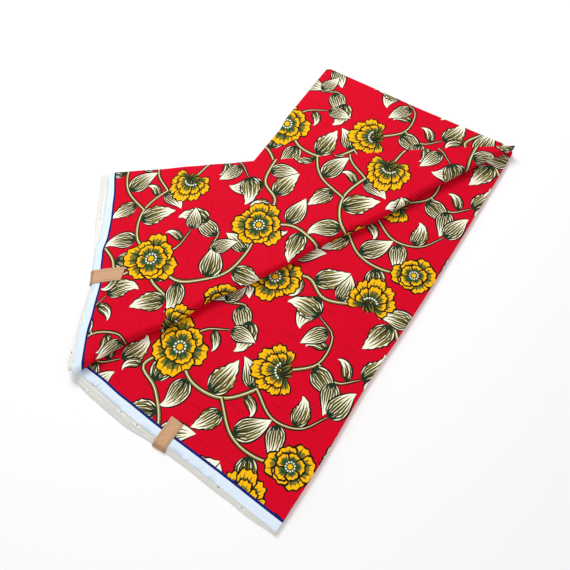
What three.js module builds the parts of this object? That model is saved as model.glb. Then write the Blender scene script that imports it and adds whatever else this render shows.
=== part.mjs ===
import * as THREE from "three";

// A six-yard length of wax print cotton, folded for the shelf. The cloth is folded in half,
// selvedge to selvedge, then zigzag into a long packet. The upper half of the packet's layers
// is turned over corner to corner, so that it lies as a flap across the lower half.
// Millimetres, +Z up. The plan is worked out in the packet's own x and y, with zero at its
// near left corner, and the group then puts the origin under the middle of the whole.

// Driving dimensions
const PACKET = { width: 308, length: 585 };
const MIDDLE = { x: 62.2, y: 286.8 };
const WALL = 1.0;
const GAP = 0.3;
const LEAVES = 4;
const CORNER_RADIUS = 5;
const CORNER_CLEAR = 1.3 * CORNER_RADIUS;
const LEAF_DEPTH = 42;
const LEAF_ROUND = { corner: 4, edge: 0.25 };
const LEAF_LIP = 1;
const ROLL = { depth: 6.4, thinnest: 0.9, taper: 0.16, insideShare: 0.55 };
const RAMP = { start: -3, length: 110 };
const PUFF = { height: 1.4, reach: 30, nearEase: 90, farEase: 120 };
const TIP_SHORT = { sheet: 3, upper: 14, hidden: 22 };
const HEM = { depth: 3.2, fullFrom: 12 };
const SET_BACK = { core: 0.1, coreLean: 0.02, upperSheet: 2 };
const LEFT_EASE = 120;

// Heights of the three stacks, worked out from the cloth wall, the gap and the leaves
const HIDDEN = LEAVES * WALL + (LEAVES - 1) * GAP;
const STACK = HIDDEN + GAP + WALL;
const LEVEL = { lower: 0, upper: STACK + GAP, flap: 2 * (STACK + GAP) };
const NOSE = { low: LEVEL.upper, high: LEVEL.flap + STACK };

// How far each edge stands off its straight line, by the distance along it
const RIGHT_EDGE = [
  { at: 0, out: -0.6 }, { at: 82, out: 0.8 }, { at: 182, out: -1.5 }, { at: 321, out: 2.2 },
  { at: 422, out: 2.0 }, { at: 533, out: 0.9 }, { at: 585, out: 0 },
];
const LEFT_EDGE = [
  { at: 0, out: 0 }, { at: 400, out: -4.5 }, { at: 440, out: -4.0 }, { at: 475, out: 0.5 },
  { at: 585, out: 1.0 },
];
const FAR_EDGE = [
  { at: 0, out: 0 }, { at: 60, out: -0.5 }, { at: 160, out: -2.4 }, { at: 260, out: -1.2 },
  { at: 308, out: 0 },
];
const NEAR_EDGE = [
  { at: 0, out: -4.7 }, { at: 28, out: -4.6 }, { at: 70, out: -2.0 }, { at: 130, out: -0.4 },
  { at: 209, out: -0.6 }, { at: 308, out: 0.8 },
];
const FLAP_LONG_EDGE = [
  { at: 0, out: -0.8 }, { at: 60, out: 0.8 }, { at: 108, out: 1.4 }, { at: 150, out: -1.6 },
  { at: 185, out: -4.2 }, { at: 230, out: -2.4 }, { at: 360, out: 0 }, { at: 484, out: 2.0 },
  { at: 585, out: 0 },
];
const FLAP_SELVEDGE = [
  { at: 0, out: -1.5 }, { at: 49, out: -1.8 }, { at: 79, out: -4.4 }, { at: 120, out: -6.6 },
  { at: 157, out: -1.2 }, { at: 174, out: 0.4 }, { at: 195, out: -2.6 }, { at: 225, out: -3.0 },
  { at: 262, out: -1.6 }, { at: 308, out: 2.4 },
];
const FOLD_WAVE = [
  { at: 0, out: 0.5 }, { at: 49, out: -2.6 }, { at: 89, out: -4.4 }, { at: 141, out: 1.8 },
  { at: 188, out: -3.6 }, { at: 240, out: 0.6 }, { at: 300, out: 1.0 }, { at: 343, out: -1.8 },
  { at: 384, out: 0.2 }, { at: 440, out: 2.6 }, { at: 480, out: 1.0 }, { at: 515, out: -2.2 },
  { at: 606, out: -2.4 }, { at: 661, out: 0 },
];

// How far the lowest leaf of each selvedge stands out past the straight edge
const NEAR_LEAVES = [
  { at: 0, out: 5.5 }, { at: 33, out: 8.9 }, { at: 89, out: 11.3 }, { at: 132, out: 7.6 },
  { at: 155, out: 5.8 }, { at: 206, out: 5.7 }, { at: 264, out: 6.4 }, { at: 308, out: 4.6 },
];
const FLAP_LEAVES = [
  { at: 0, out: 5.0 }, { at: 19, out: 8.5 }, { at: 45, out: 3.6 }, { at: 73, out: 3.9 },
  { at: 102, out: 0.8 }, { at: 124, out: -1.6 }, { at: 161, out: 2.4 }, { at: 196, out: 6.9 },
  { at: 229, out: 10.5 }, { at: 263, out: 12.6 }, { at: 308, out: 15.2 },
];

// The share of that reach which each leaf has, from the top one down, the start of the same
// leaf inside the rolled fold, and how far it is drawn in at the folded edges
const LEAF_STEPS = [
  { reach: 0.22, start: 6.9, side: 3.4 }, { reach: 0.5, start: 3.6, side: 2.4 },
  { reach: 0.76, start: 2.4, side: 0.5 }, { reach: 1.0, start: 1.9, side: 0.9 },
];

// The folded edges: how far each ring of the hidden layers is drawn in, by its height
const FOLDED_RIM = [
  { height: 0, folded: 0.9 }, { height: 0.8, folded: 0.1 }, { height: 1.6, folded: 0.9 },
  { height: 2.3, folded: 0.2 }, { height: 3.1, folded: 1.5 }, { height: 3.9, folded: 1.9 },
  { height: HIDDEN, folded: HEM.depth },
];

// The visible cloth: ring by ring from its underside round the turned edge to its face. The
// turned edge is drawn in by folded and lies below the face by drop, and a cut edge is rounded
const SHEET_RIM = [
  { folded: HEM.depth, drop: WALL, cut: 0.5, cutDrop: WALL },
  { folded: 1.5, drop: 1.5, cut: 0.15, cutDrop: 0.85 },
  { folded: 1.1, drop: 2.7, cut: 0.05, cutDrop: 0.7 },
  { folded: 0.1, drop: 3.0, cut: 0, cutDrop: 0.5 },
  { folded: 0, drop: 1.4, cut: 0.05, cutDrop: 0.3 },
  { folded: 0.7, drop: 0.4, cut: 0.15, cutDrop: 0.15 },
  { folded: 3.0, drop: 0, cut: 0.5, cutDrop: 0 },
];

// The two paper labels: their width, how far they reach over the cloth, and their thickness
const LABEL = { thick: 0.8, lift: 0.4, step: 6 };
const FRONT_LABEL = { from: 134.5, to: 152.5, reach: 30.5 };
const SIDE_LABEL = { from: 121.5, to: 142.5, reach: 51 };

// Spacing of the points along the edges, over the flap's rows and round the roll in degrees
const EDGE_STEP = 22;
const FLAP_STEP = { leaves: 14, cloth: 24, last: 568 };
const FLAP_COLUMNS = 14;
const ROLL_TURN = { from: 262, to: 112, step: 25 };

const { width: WIDTH, length: LENGTH } = PACKET;
const DIAGONAL = Math.hypot(WIDTH, LENGTH);
const ALONG = new THREE.Vector2(WIDTH / DIAGONAL, LENGTH / DIAGONAL);
const ACROSS = new THREE.Vector2(-ALONG.y, ALONG.x);

const COLOURS = {
  red: new THREE.MeshStandardMaterial({ color: 0xd9082a, roughness: 0.72, metalness: 0 }),
  deepRed: new THREE.MeshStandardMaterial({ color: 0xb00a1f, roughness: 0.78, metalness: 0 }),
  selvedge: new THREE.MeshStandardMaterial({ color: 0xeef0e6, roughness: 0.8, metalness: 0 }),
  label: new THREE.MeshStandardMaterial({ color: 0xd6ab82, roughness: 0.75, metalness: 0 }),
};

function smooth(t) {
  const k = Math.min(1, Math.max(0, t));
  return k * k * (3 - 2 * k);
}

// The value of a short table at a place, eased from row to row
function along(table, at) {
  const last = table.length - 1;
  if (at <= table[0].at) return table[0].out;
  if (at >= table[last].at) return table[last].out;
  const k = table.findIndex((row) => row.at > at);
  const a = table[k - 1];
  const b = table[k];
  return a.out + (b.out - a.out) * smooth((at - a.at) / (b.at - a.at));
}

// A point on the flap as the packet lay before the fold, turned over the diagonal
function turnOver(x, y) {
  const v = new THREE.Vector2(x, y);
  return ALONG.clone().multiplyScalar(2 * v.dot(ALONG)).sub(v);
}

// A point at a distance along the fold and a distance behind its front line
function behindFold(distance, behind) {
  const s = behind - along(FOLD_WAVE, distance);
  return ALONG.clone().multiplyScalar(distance).addScaledVector(ACROSS, s);
}

// How deep the roll of the fold is: it thins towards the far corner
function noseDepth(distance) {
  return Math.max(ROLL.thinnest, Math.min(ROLL.depth, ROLL.taper * (DIAGONAL - distance)));
}

// How far the flap sinks beside the packet, where it comes down to the floor
function sink(x) {
  return LEVEL.flap * smooth((RAMP.start - x) / RAMP.length);
}

// How much the flap's face swells along the fold
function puff(p) {
  const r = p.dot(ALONG);
  const s = p.dot(ACROSS) + along(FOLD_WAVE, r);
  const ends = smooth(r / PUFF.nearEase) * smooth((DIAGONAL - r) / PUFF.farEase);
  return PUFF.height * ends * Math.exp(-((s / PUFF.reach) ** 2));
}

function at(p, z) {
  return new THREE.Vector3(p.x, p.y, z);
}

// A closed solid from points and faces
class Solid {
  constructor() {
    this.points = [];
    this.faces = [];
  }

  loop(points) {
    return points.map((p) => this.points.push(p) - 1);
  }

  quad(a, b, c, d, flipped = false) {
    this.faces.push(...(flipped ? [[a, c, b], [a, d, c]] : [[a, b, c], [a, c, d]]));
  }

  strip(lower, upper) {
    lower.forEach((a, k) => {
      const n = (k + 1) % lower.length;
      this.quad(a, lower[n], upper[n], upper[k]);
    });
  }

  cap(loop, flipped) {
    const outline = loop.map((k) => new THREE.Vector2(this.points[k].x, this.points[k].y));
    for (const [a, b, c] of THREE.ShapeUtils.triangulateShape(outline, [])) {
      const face = [loop[a], loop[b], loop[c]];
      this.faces.push(flipped ? face.reverse() : face);
    }
  }

  sheet(rows, flipped) {
    for (let i = 0; i + 1 < rows.length; i += 1) {
      for (let j = 0; j + 1 < rows[i].length; j += 1) {
        this.quad(rows[i][j], rows[i][j + 1], rows[i + 1][j + 1], rows[i + 1][j], flipped);
      }
    }
  }

  volume() {
    const total = (sum, [a, b, c]) => {
      const [p, q, r] = [this.points[a], this.points[b], this.points[c]];
      return sum + p.dot(q.clone().cross(r)) / 6;
    };
    return this.faces.reduce(total, 0);
  }

  geometry() {
    const outward = this.volume() > 0;
    const index = this.faces.flatMap((face) => (outward ? face : [...face].reverse()));
    const geometry = new THREE.BufferGeometry().setFromPoints(this.points);
    geometry.setIndex(index);
    geometry.computeVertexNormals();
    return geometry;
  }
}

// The rim of a grid of points, once round
function rim(rows) {
  const last = rows.length - 1;
  const right = rows.slice(1, last).map((row) => row[row.length - 1]);
  const left = rows.slice(1, last).map((row) => row[0]).reverse();
  return [...rows[0], ...right, ...[...rows[last]].reverse(), ...left];
}

// A solid between two grids, with rings round its rim from the lower to the upper grid
function gridSolid(upper, lower, rings = []) {
  const solid = new Solid();
  const top = upper.map((row) => solid.loop(row));
  const bottom = lower.map((row) => solid.loop(row));
  solid.sheet(top, false);
  solid.sheet(bottom, true);
  const loops = [rim(bottom), ...rings.map((ring) => solid.loop(ring)), rim(top)];
  loops.slice(1).forEach((loop, k) => solid.strip(loops[k], loop));
  return solid.geometry();
}

// A solid from rings that lie over each other, closed flat below and above
function ringSolid(rings) {
  const solid = new Solid();
  const loops = rings.map((ring) => solid.loop(ring));
  loops.slice(1).forEach((loop, k) => solid.strip(loops[k], loop));
  solid.cap(loops[0], true);
  solid.cap(loops[loops.length - 1], false);
  return solid.geometry();
}

// Places from one value to another, about a step apart
function spaced(from, to, step) {
  const count = Math.max(1, Math.round(Math.abs(to - from) / step));
  return Array.from({ length: count + 1 }, (_, k) => from + ((to - from) * k) / count);
}

const FLAP_ROWS = [
  ...spaced(FLAP_STEP.leaves, LEAF_DEPTH, FLAP_STEP.leaves),
  ...spaced(LEAF_DEPTH, FLAP_STEP.last, FLAP_STEP.cloth).slice(1),
];
const LEAF_ROWS = FLAP_ROWS.filter((row) => row <= LEAF_DEPTH);
const SHARES = spaced(0, 1, 1 / FLAP_COLUMNS);

// Rounds each corner of an outline whose sides are given one by one
function roundOff(sides, radius) {
  const outline = [];
  sides.forEach((side, k) => {
    const next = sides[(k + 1) % sides.length];
    const corner = side.points[side.points.length - 1];
    const clear = (p) => p.distanceTo(corner) > CORNER_CLEAR;
    const start = side.points[0];
    const kept = side.points.filter((p) => clear(p) && p.distanceTo(start) > CORNER_CLEAR);
    outline.push(...kept.map((p) => ({ p, cut: side.cut })));
    const back = kept[kept.length - 1].clone().sub(corner).setLength(radius).add(corner);
    const ahead = next.points.find(clear).clone().sub(corner).setLength(radius).add(corner);
    const curve = new THREE.QuadraticBezierCurve(back, corner, ahead);
    const share = [0, 0.33, 0.67, 1];
    share.forEach((t) => outline.push({
      p: curve.getPoint(t), cut: t < 0.5 ? side.cut : next.cut, corner: true }));
  });
  return outline;
}

// Gives each point of an outline, which runs round to the left, its inward direction
function withInward(outline) {
  return outline.map(({ p, cut, corner }, k) => {
    const before = outline[(k + outline.length - 1) % outline.length].p;
    const after = outline[(k + 1) % outline.length].p;
    const run = after.clone().sub(before).normalize();
    return { p, cut, corner, inward: new THREE.Vector2(-run.y, run.x) };
  });
}

function drawnIn(point, distance) {
  return point.p.clone().addScaledVector(point.inward, distance);
}

// The four sides of the packet, from its near left corner round
function packetSides(near) {
  const right = spaced(0, LENGTH, EDGE_STEP);
  return [
    near,
    { cut: false, points: right.map((y) => new THREE.Vector2(WIDTH + along(RIGHT_EDGE, y), y)) },
    { cut: false, points: farSide() },
    { cut: false, points: leftSide(0, () => 0) },
  ];
}

function farSide() {
  return spaced(WIDTH, 0, EDGE_STEP).map((x) => new THREE.Vector2(x, LENGTH + along(FAR_EDGE, x)));
}

function leftSide(stop, shift) {
  return spaced(LENGTH, stop, EDGE_STEP).map((y) => new THREE.Vector2(-shift(y), y));
}

function nearSide() {
  const places = spaced(0, WIDTH, EDGE_STEP);
  return { cut: true, points: places.map((x) => new THREE.Vector2(x, -along(NEAR_EDGE, x))) };
}

// Hidden layers of the lower half: folded edges on three sides, square at the leaves
function lowerCore() {
  const inner = spaced(0, WIDTH, WIDTH / 4).map((x) => new THREE.Vector2(x, LEAF_DEPTH + GAP));
  const sides = packetSides({ cut: true, points: inner });
  sides[1].points = sides[1].points.filter((p) => p.y > LEAF_DEPTH + EDGE_STEP / 2);
  sides[1].points.unshift(new THREE.Vector2(WIDTH, LEAF_DEPTH + GAP));
  sides[3].points = leftSide(LEAF_DEPTH + GAP, () => 0);
  const outline = withInward(roundOff(sides, CORNER_RADIUS));
  return ringSolid(FOLDED_RIM.map(({ height, folded }) => outline.map((point) => (
    at(drawnIn(point, point.cut && !point.corner ? SET_BACK.core + SET_BACK.coreLean * height : folded),
      LEVEL.lower + height)))));
}

// Rings of a cloth that is turned down at its folded edges and rounded at its cut ones
function sheetRings(outline, face) {
  return SHEET_RIM.map((ring) => outline.map((point) => (point.cut
    ? at(drawnIn(point, ring.cut), face - ring.cutDrop)
    : at(drawnIn(point, ring.folded), face - ring.drop))));
}

function lowerSheet() {
  const outline = withInward(roundOff(packetSides(nearSide()), CORNER_RADIUS));
  return ringSolid(sheetRings(outline, LEVEL.lower + STACK));
}

// One selvedge leaf of the lower half, counted from the top
function lowerLeaf(k) {
  const top = LEVEL.lower + HIDDEN - k * (WALL + GAP);
  const { reach, side } = LEAF_STEPS[k];
  const out = (x) => along(NEAR_EDGE, x) + reach * (along(NEAR_LEAVES, x) - along(NEAR_EDGE, x));
  const places = spaced(side, WIDTH - side, EDGE_STEP);
  const outer = places.map((x) => new THREE.Vector2(x, -out(x)));
  const sides = [
    { cut: true, points: outer },
    { cut: false, points: spaced(0, 1, 0.5).map((t) => new THREE.Vector2(
      WIDTH - side, THREE.MathUtils.lerp(outer[outer.length - 1].y, LEAF_DEPTH, t))) },
    { cut: false, points: spaced(WIDTH - side, side, WIDTH / 3).map((x) => (
      new THREE.Vector2(x, LEAF_DEPTH))) },
    { cut: false, points: spaced(0, 1, 0.5).map((t) => new THREE.Vector2(
      side, THREE.MathUtils.lerp(LEAF_DEPTH, outer[0].y, t))) },
  ];
  const outline = withInward(roundOff(sides, LEAF_ROUND.corner));
  return ringSolid([0, 0.5, 1].map((share) => outline.map((point) => (
    at(drawnIn(point, share === 0.5 ? 0 : LEAF_ROUND.edge), top - WALL + share * WALL)))));
}

// The upper half lies on a triangle of the packet, from the fold to its left and far edges
function upperSides(behind, short) {
  const rows = FLAP_ROWS.filter((row) => row >= LEAF_DEPTH && row < LENGTH - short);
  const fold = rows.map((row) => (row / LENGTH) * DIAGONAL).map((r) => behindFold(r, behind(r)));
  const shift = (y) => along(LEFT_EDGE, y) * smooth(y / LEFT_EASE);
  const end = fold[fold.length - 1].x;
  const far = farSide().filter((p) => p.x < end - CORNER_RADIUS);
  far.unshift(new THREE.Vector2(end, LENGTH + along(FAR_EDGE, end)));
  return [
    { cut: true, points: fold },
    { cut: false, points: far },
    { cut: false, points: leftSide(fold[0].y, shift) },
  ];
}

const UPPER_FOLD_RIM = [
  { height: 0, behind: 1.1 }, { height: 1.2, behind: 1.1 }, { height: 1.6, behind: -1.6 },
  { height: 2.4, behind: -2.7 }, { height: 3.1, behind: -3.4 }, { height: 3.9, behind: -3.9 },
  { height: HIDDEN, behind: -4.3 },
];

// Hidden layers of the upper half: folded edges, and a nose that fills the roll of the fold
function upperCore() {
  const sides = upperSides(() => ROLL.depth, TIP_SHORT.hidden);
  const outline = withInward(roundOff(sides, CORNER_RADIUS));
  return ringSolid(FOLDED_RIM.map(({ height, folded }, k) => outline.map((point) => {
    const roll = UPPER_FOLD_RIM[k];
    return point.cut && !point.corner
      ? at(drawnIn(point, roll.behind * noseShare(point.p)), LEVEL.upper + roll.height)
      : at(drawnIn(point, folded), LEVEL.upper + height);
  })));
}

// The share of the full roll that the fold has at a point's place along it
function noseShare(p) {
  return noseDepth(p.dot(ALONG)) / ROLL.depth;
}

function upperSheet() {
  const sides = upperSides((r) => noseDepth(r) + SET_BACK.upperSheet, TIP_SHORT.upper);
  const outline = withInward(roundOff(sides, CORNER_RADIUS));
  return ringSolid(sheetRings(outline, LEVEL.upper + STACK));
}

// A point drawn in from the flap's long folded edge, less so where the flap is narrow
function longEdge(row, drawn) {
  const squeeze = Math.min(1, ((LENGTH - row) * WIDTH) / LENGTH / HEM.fullFrom);
  return turnOver(WIDTH + along(FLAP_LONG_EDGE, row) - drawn * squeeze, row);
}

// A point of the flap's plan: its row is the distance from the selvedge, and the share runs
// from the top of the roll to where the long edge turns down
function flapPoint(row, share, behind = noseDepth) {
  const distance = (row / LENGTH) * DIAGONAL;
  return behindFold(distance, behind(distance)).lerp(longEdge(row, HEM.depth), share);
}

// The row where the flap's cloth ends, at its wavy selvedge
function selvedgeRow(share) {
  return -along(FLAP_SELVEDGE, share * WIDTH);
}

// The turned-down long edge of the flap's cloth: its outer face and its inside
const FLAP_HEM = [
  { drawn: 0.9, drop: 0.3, insideDrawn: 1.6, insideDrop: 1.5 },
  { drawn: 0, drop: 1.4, insideDrawn: 1.2, insideDrop: 2.1 },
  { drawn: 0.1, drop: 3.0, insideDrawn: 1.1, insideDrop: 2.9 },
];

// The face of the flap's cloth over a point of its plan
function faceHeight(p) {
  return NOSE.high + puff(p) - sink(p.x);
}

// One row of the flap's cloth, from under the roll, round it and across to the long edge
function flapSheetRow(row, inside) {
  const rowAt = (share) => (typeof row === "function" ? row(share) : row);
  const distance = (rowAt(0) / LENGTH) * DIAGONAL;
  const depth = noseDepth(distance);
  const high = faceHeight(behindFold(distance, depth));
  const wall = inside ? Math.min(WALL, depth * ROLL.insideShare) : 0;
  const middle = (high + NOSE.low) / 2;
  const reach = { s: depth - wall, z: (high - NOSE.low) / 2 - (inside ? WALL : 0) };
  const roll = spaced(ROLL_TURN.from, ROLL_TURN.to, ROLL_TURN.step).map((degrees) => {
    const turn = THREE.MathUtils.degToRad(degrees);
    const p = behindFold(distance, depth + reach.s * Math.cos(turn));
    return at(p, middle + reach.z * Math.sin(turn));
  });
  const flat = SHARES.map((share) => {
    const p = flapPoint(rowAt(share), share);
    return at(p, faceHeight(p) - (inside ? WALL : 0));
  });
  const hem = FLAP_HEM.map(({ drawn, drop, insideDrawn, insideDrop }) => {
    const p = longEdge(rowAt(1), inside ? insideDrawn : drawn);
    return at(p, faceHeight(p) - (inside ? insideDrop : drop));
  });
  return [...roll, ...flat, ...hem];
}

function flapSheet() {
  const rows = [selvedgeRow, ...FLAP_ROWS, LENGTH - TIP_SHORT.sheet];
  return gridSolid(rows.map((row) => flapSheetRow(row, false)),
    rows.map((row) => flapSheetRow(row, true)));
}

const FLAP_FOLD_RIM = [
  { height: 0, behind: 1.7 }, { height: 0.8, behind: 1.75 }, { height: 1.6, behind: 1.95 },
  { height: 2.3, behind: 2.35 }, { height: 3.1, behind: 2.9 }, { height: 3.9, behind: 3.9 },
  { height: HIDDEN, behind: 6.4 },
];

// Hidden layers of the flap: a nose that fills the roll, and a folded long edge
function flapCore() {
  const inside = (row) => row > LEAF_DEPTH && row < LENGTH - TIP_SHORT.hidden;
  const rows = [LEAF_DEPTH + GAP, ...FLAP_ROWS.filter(inside)];
  const rings = FLAP_FOLD_RIM.map(({ height, behind }, k) => rows.map((row) => {
    const start = (distance) => behind * (noseDepth(distance) / ROLL.depth);
    return SHARES.map((share) => {
      let p = flapPoint(row, share);
      if (share === 0) p = flapPoint(row, 0, start);
      if (share === 1) p = longEdge(row, FOLDED_RIM[k].folded);
      const swell = (height / HIDDEN) * puff(p);
      return at(p, LEVEL.flap + height + swell - sink(p.x));
    });
  }));
  const last = rings.length - 1;
  return gridSolid(rings[last], rings[0], rings.slice(1, last).map(rim));
}

// One selvedge leaf of the flap, counted from the top
function flapLeaf(k) {
  const top = LEVEL.flap + HIDDEN - k * (WALL + GAP);
  const { reach, start, side } = LEAF_STEPS[k];
  const outer = (share) => {
    const edge = along(FLAP_SELVEDGE, share * WIDTH);
    return -(edge + reach * (along(FLAP_LEAVES, share * WIDTH) - edge));
  };
  const rows = [outer, (share) => selvedgeRow(share) + LEAF_LIP, ...LEAF_ROWS];
  const grid = (z) => rows.map((row) => SHARES.map((share) => {
    const value = typeof row === "function" ? row(share) : row;
    let p = flapPoint(value, share);
    if (share === 0) p = flapPoint(value, 0, () => start);
    if (share === 1) p = longEdge(value, side);
    return at(p, z + ((z - LEVEL.flap) / HIDDEN) * puff(p) - sink(p.x));
  }));
  return gridSolid(grid(top), grid(top - WALL));
}

// Where a label lies: flat on the cloth at a row, then down over the stepped leaves. The share
// runs from the cloth's edge to the lowest leaf's, and the tilt is the way that it faces
const LABEL_TURN = [
  { share: 0, off: 0.1, z: 0, tilt: 10 }, { share: 0, off: 0.9, z: -0.5, tilt: 50 },
  { share: 0.5, off: 0.9, z: -2.6, tilt: 60 }, { share: 1, off: 0.8, z: -4.8, tilt: 72 },
  { share: 1, off: 0.9, z: -5.9, tilt: 90 },
];

// A label over the edge of a stack. Place gives the point for a distance along the edge, a
// row back from it and a height over the cloth's face
function label(size, rows, edge, leaves, place) {
  const skin = (thick) => spaced(size.from, size.to, LABEL.step).map((x) => [
    ...rows.map((row) => place(x, row, LABEL.lift + thick)),
    ...LABEL_TURN.map(({ share, off, z, tilt }) => {
      const reach = THREE.MathUtils.lerp(along(edge, x), along(leaves, x), share) + off;
      const turn = THREE.MathUtils.degToRad(tilt);
      return place(x, -reach - thick * Math.sin(turn), LABEL.lift + z + thick * Math.cos(turn));
    }),
  ]);
  return gridSolid(skin(LABEL.thick), skin(0));
}

function frontLabel() {
  return label(FRONT_LABEL, [FRONT_LABEL.reach, FRONT_LABEL.reach / 2], NEAR_EDGE, NEAR_LEAVES,
    (x, y, z) => new THREE.Vector3(x, y, LEVEL.lower + STACK + z));
}

// A point of the flap's cloth face, read off the triangles between its rows and shares
function flapFace(row, place) {
  const rows = [selvedgeRow, ...FLAP_ROWS];
  const rowAt = (i, share) => (i > 0 ? rows[i] : selvedgeRow(share));
  const share = place / WIDTH;
  const i = Math.max(0, FLAP_ROWS.findIndex((value) => value > row));
  const j = Math.floor(share * FLAP_COLUMNS);
  const acrossCell = share * FLAP_COLUMNS - j;
  const upCell = (row - rowAt(i, share)) / (rowAt(i + 1, share) - rowAt(i, share));
  const corner = (m, n) => {
    const p = flapPoint(rowAt(i + m, SHARES[j + n]), SHARES[j + n]);
    return at(p, faceHeight(p));
  };
  const near = corner(0, 0);
  const far = corner(1, 1);
  const side = acrossCell >= upCell ? corner(0, 1) : corner(1, 0);
  const [first, second] = acrossCell >= upCell ? [acrossCell, upCell] : [upCell, acrossCell];
  return near.clone().addScaledVector(side.clone().sub(near), first)
    .addScaledVector(far.sub(side), second);
}

function sideLabel() {
  return label(SIDE_LABEL, [SIDE_LABEL.reach, ...[...LEAF_ROWS].reverse()], FLAP_SELVEDGE,
    FLAP_LEAVES, (x, y, z) => flapFace(y, x).add(new THREE.Vector3(0, 0, z)));
}

const cloth = new THREE.Group();

function add(name, geometry, material) {
  const mesh = new THREE.Mesh(geometry, material);
  mesh.name = name;
  mesh.position.set(-MIDDLE.x, -MIDDLE.y, 0);
  cloth.add(mesh);
}

add("lower_core", lowerCore(), COLOURS.deepRed);
add("lower_sheet", lowerSheet(), COLOURS.red);
add("upper_core", upperCore(), COLOURS.deepRed);
add("upper_sheet", upperSheet(), COLOURS.red);
add("flap_core", flapCore(), COLOURS.deepRed);
add("flap_sheet", flapSheet(), COLOURS.red);
for (let k = 0; k < LEAVES; k += 1) {
  add(`lower_selvedge_${k + 1}`, lowerLeaf(k), COLOURS.selvedge);
  add(`flap_selvedge_${k + 1}`, flapLeaf(k), COLOURS.selvedge);
}
add("front_label", frontLabel(), COLOURS.label);
add("side_label", sideLabel(), COLOURS.label);

export default cloth;
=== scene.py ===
"""Dresses a folded six-yard length of wax print cotton.

The cloth lies as a long packet whose upper layers are turned over corner to corner as a flap.
Each cloth is laid out flat in millimetres, printed there shape by shape, and then carried to
its folded place. Lengths are millimetres on the packet's own plan, with zero at its near left
corner, until Packet.to_frame() turns them into metres in the shared frame.
"""

import logging
import math
from dataclasses import dataclass, field
from enum import Enum
from typing import Callable, Sequence

import bmesh
import bpy
import numpy as np
from mathutils import Matrix, Vector
from mathutils.geometry import delaunay_2d_cdt

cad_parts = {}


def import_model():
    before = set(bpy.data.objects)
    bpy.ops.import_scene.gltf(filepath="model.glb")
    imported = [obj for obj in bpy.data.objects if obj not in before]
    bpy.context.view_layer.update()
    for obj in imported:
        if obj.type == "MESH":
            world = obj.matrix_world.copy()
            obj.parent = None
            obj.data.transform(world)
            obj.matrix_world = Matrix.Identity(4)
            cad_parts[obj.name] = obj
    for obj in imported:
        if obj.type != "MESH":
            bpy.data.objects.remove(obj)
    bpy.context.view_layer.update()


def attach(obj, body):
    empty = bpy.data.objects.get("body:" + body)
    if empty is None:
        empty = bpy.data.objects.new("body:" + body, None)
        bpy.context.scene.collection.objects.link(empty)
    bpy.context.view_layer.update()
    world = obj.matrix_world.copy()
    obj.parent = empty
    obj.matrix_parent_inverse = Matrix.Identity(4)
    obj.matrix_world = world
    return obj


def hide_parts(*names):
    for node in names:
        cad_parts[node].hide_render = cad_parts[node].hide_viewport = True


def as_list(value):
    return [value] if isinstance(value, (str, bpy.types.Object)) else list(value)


log = logging.getLogger("folded_cloth")

MM = 0.001
PHOTO_SIDE = 570
UV_START, UV_SPAN = 0.02, 0.96


def smooth(t: np.ndarray | float) -> np.ndarray:
    """Eases a share from 0 to 1 at both ends."""
    k = np.clip(t, 0.0, 1.0)
    return k * k * (3.0 - 2.0 * k)


@dataclass(frozen=True)
class Drift:
    """How far a line stands off from straight, eased from place to place.

    Attributes:
        rows: pairs of the place along the line and the distance outwards there.
    """

    rows: tuple[tuple[float, float], ...]

    def out(self, at: np.ndarray | float) -> np.ndarray:
        """Reads the drift.

        Args:
            at: places along the line.

        Returns:
            The distance outwards at each place.
        """
        places = np.array([row[0] for row in self.rows])
        outs = np.array([row[1] for row in self.rows])
        at = np.clip(np.asarray(at, float), places[0], places[-1])
        k = np.clip(np.searchsorted(places, at, side="right") - 1, 0, len(places) - 2)
        share = smooth((at - places[k]) / (places[k + 1] - places[k]))
        return outs[k] + (outs[k + 1] - outs[k]) * share


@dataclass(frozen=True)
class Crease:
    """A soft trough or ridge pressed into a cloth.

    Attributes:
        start: one end on the plan.
        end: the other end on the plan.
        height: how far it rises, negative for a trough.
        breadth: how far it reaches to each side.
    """

    start: tuple[float, float]
    end: tuple[float, float]
    height: float
    breadth: float

    def lift(self, plan: np.ndarray) -> np.ndarray:
        """Works out the rise of the cloth.

        Args:
            plan: points on the plan, one a row.

        Returns:
            The rise at each point.
        """
        start, end = np.array(self.start), np.array(self.end)
        run = end - start
        share = ((plan - start) @ run) / (run @ run)
        off = (plan - start) - np.clip(share, 0, 1)[:, None] * run
        bow = 0.05 * np.sin(share * 7.0) * np.linalg.norm(run)
        side = (off @ np.array([-run[1], run[0]])) / np.linalg.norm(run) + bow
        fade = smooth(share / 0.3) * smooth((1 - share) / 0.3)
        return self.height * fade * np.exp(-((side / self.breadth) ** 2))


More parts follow.
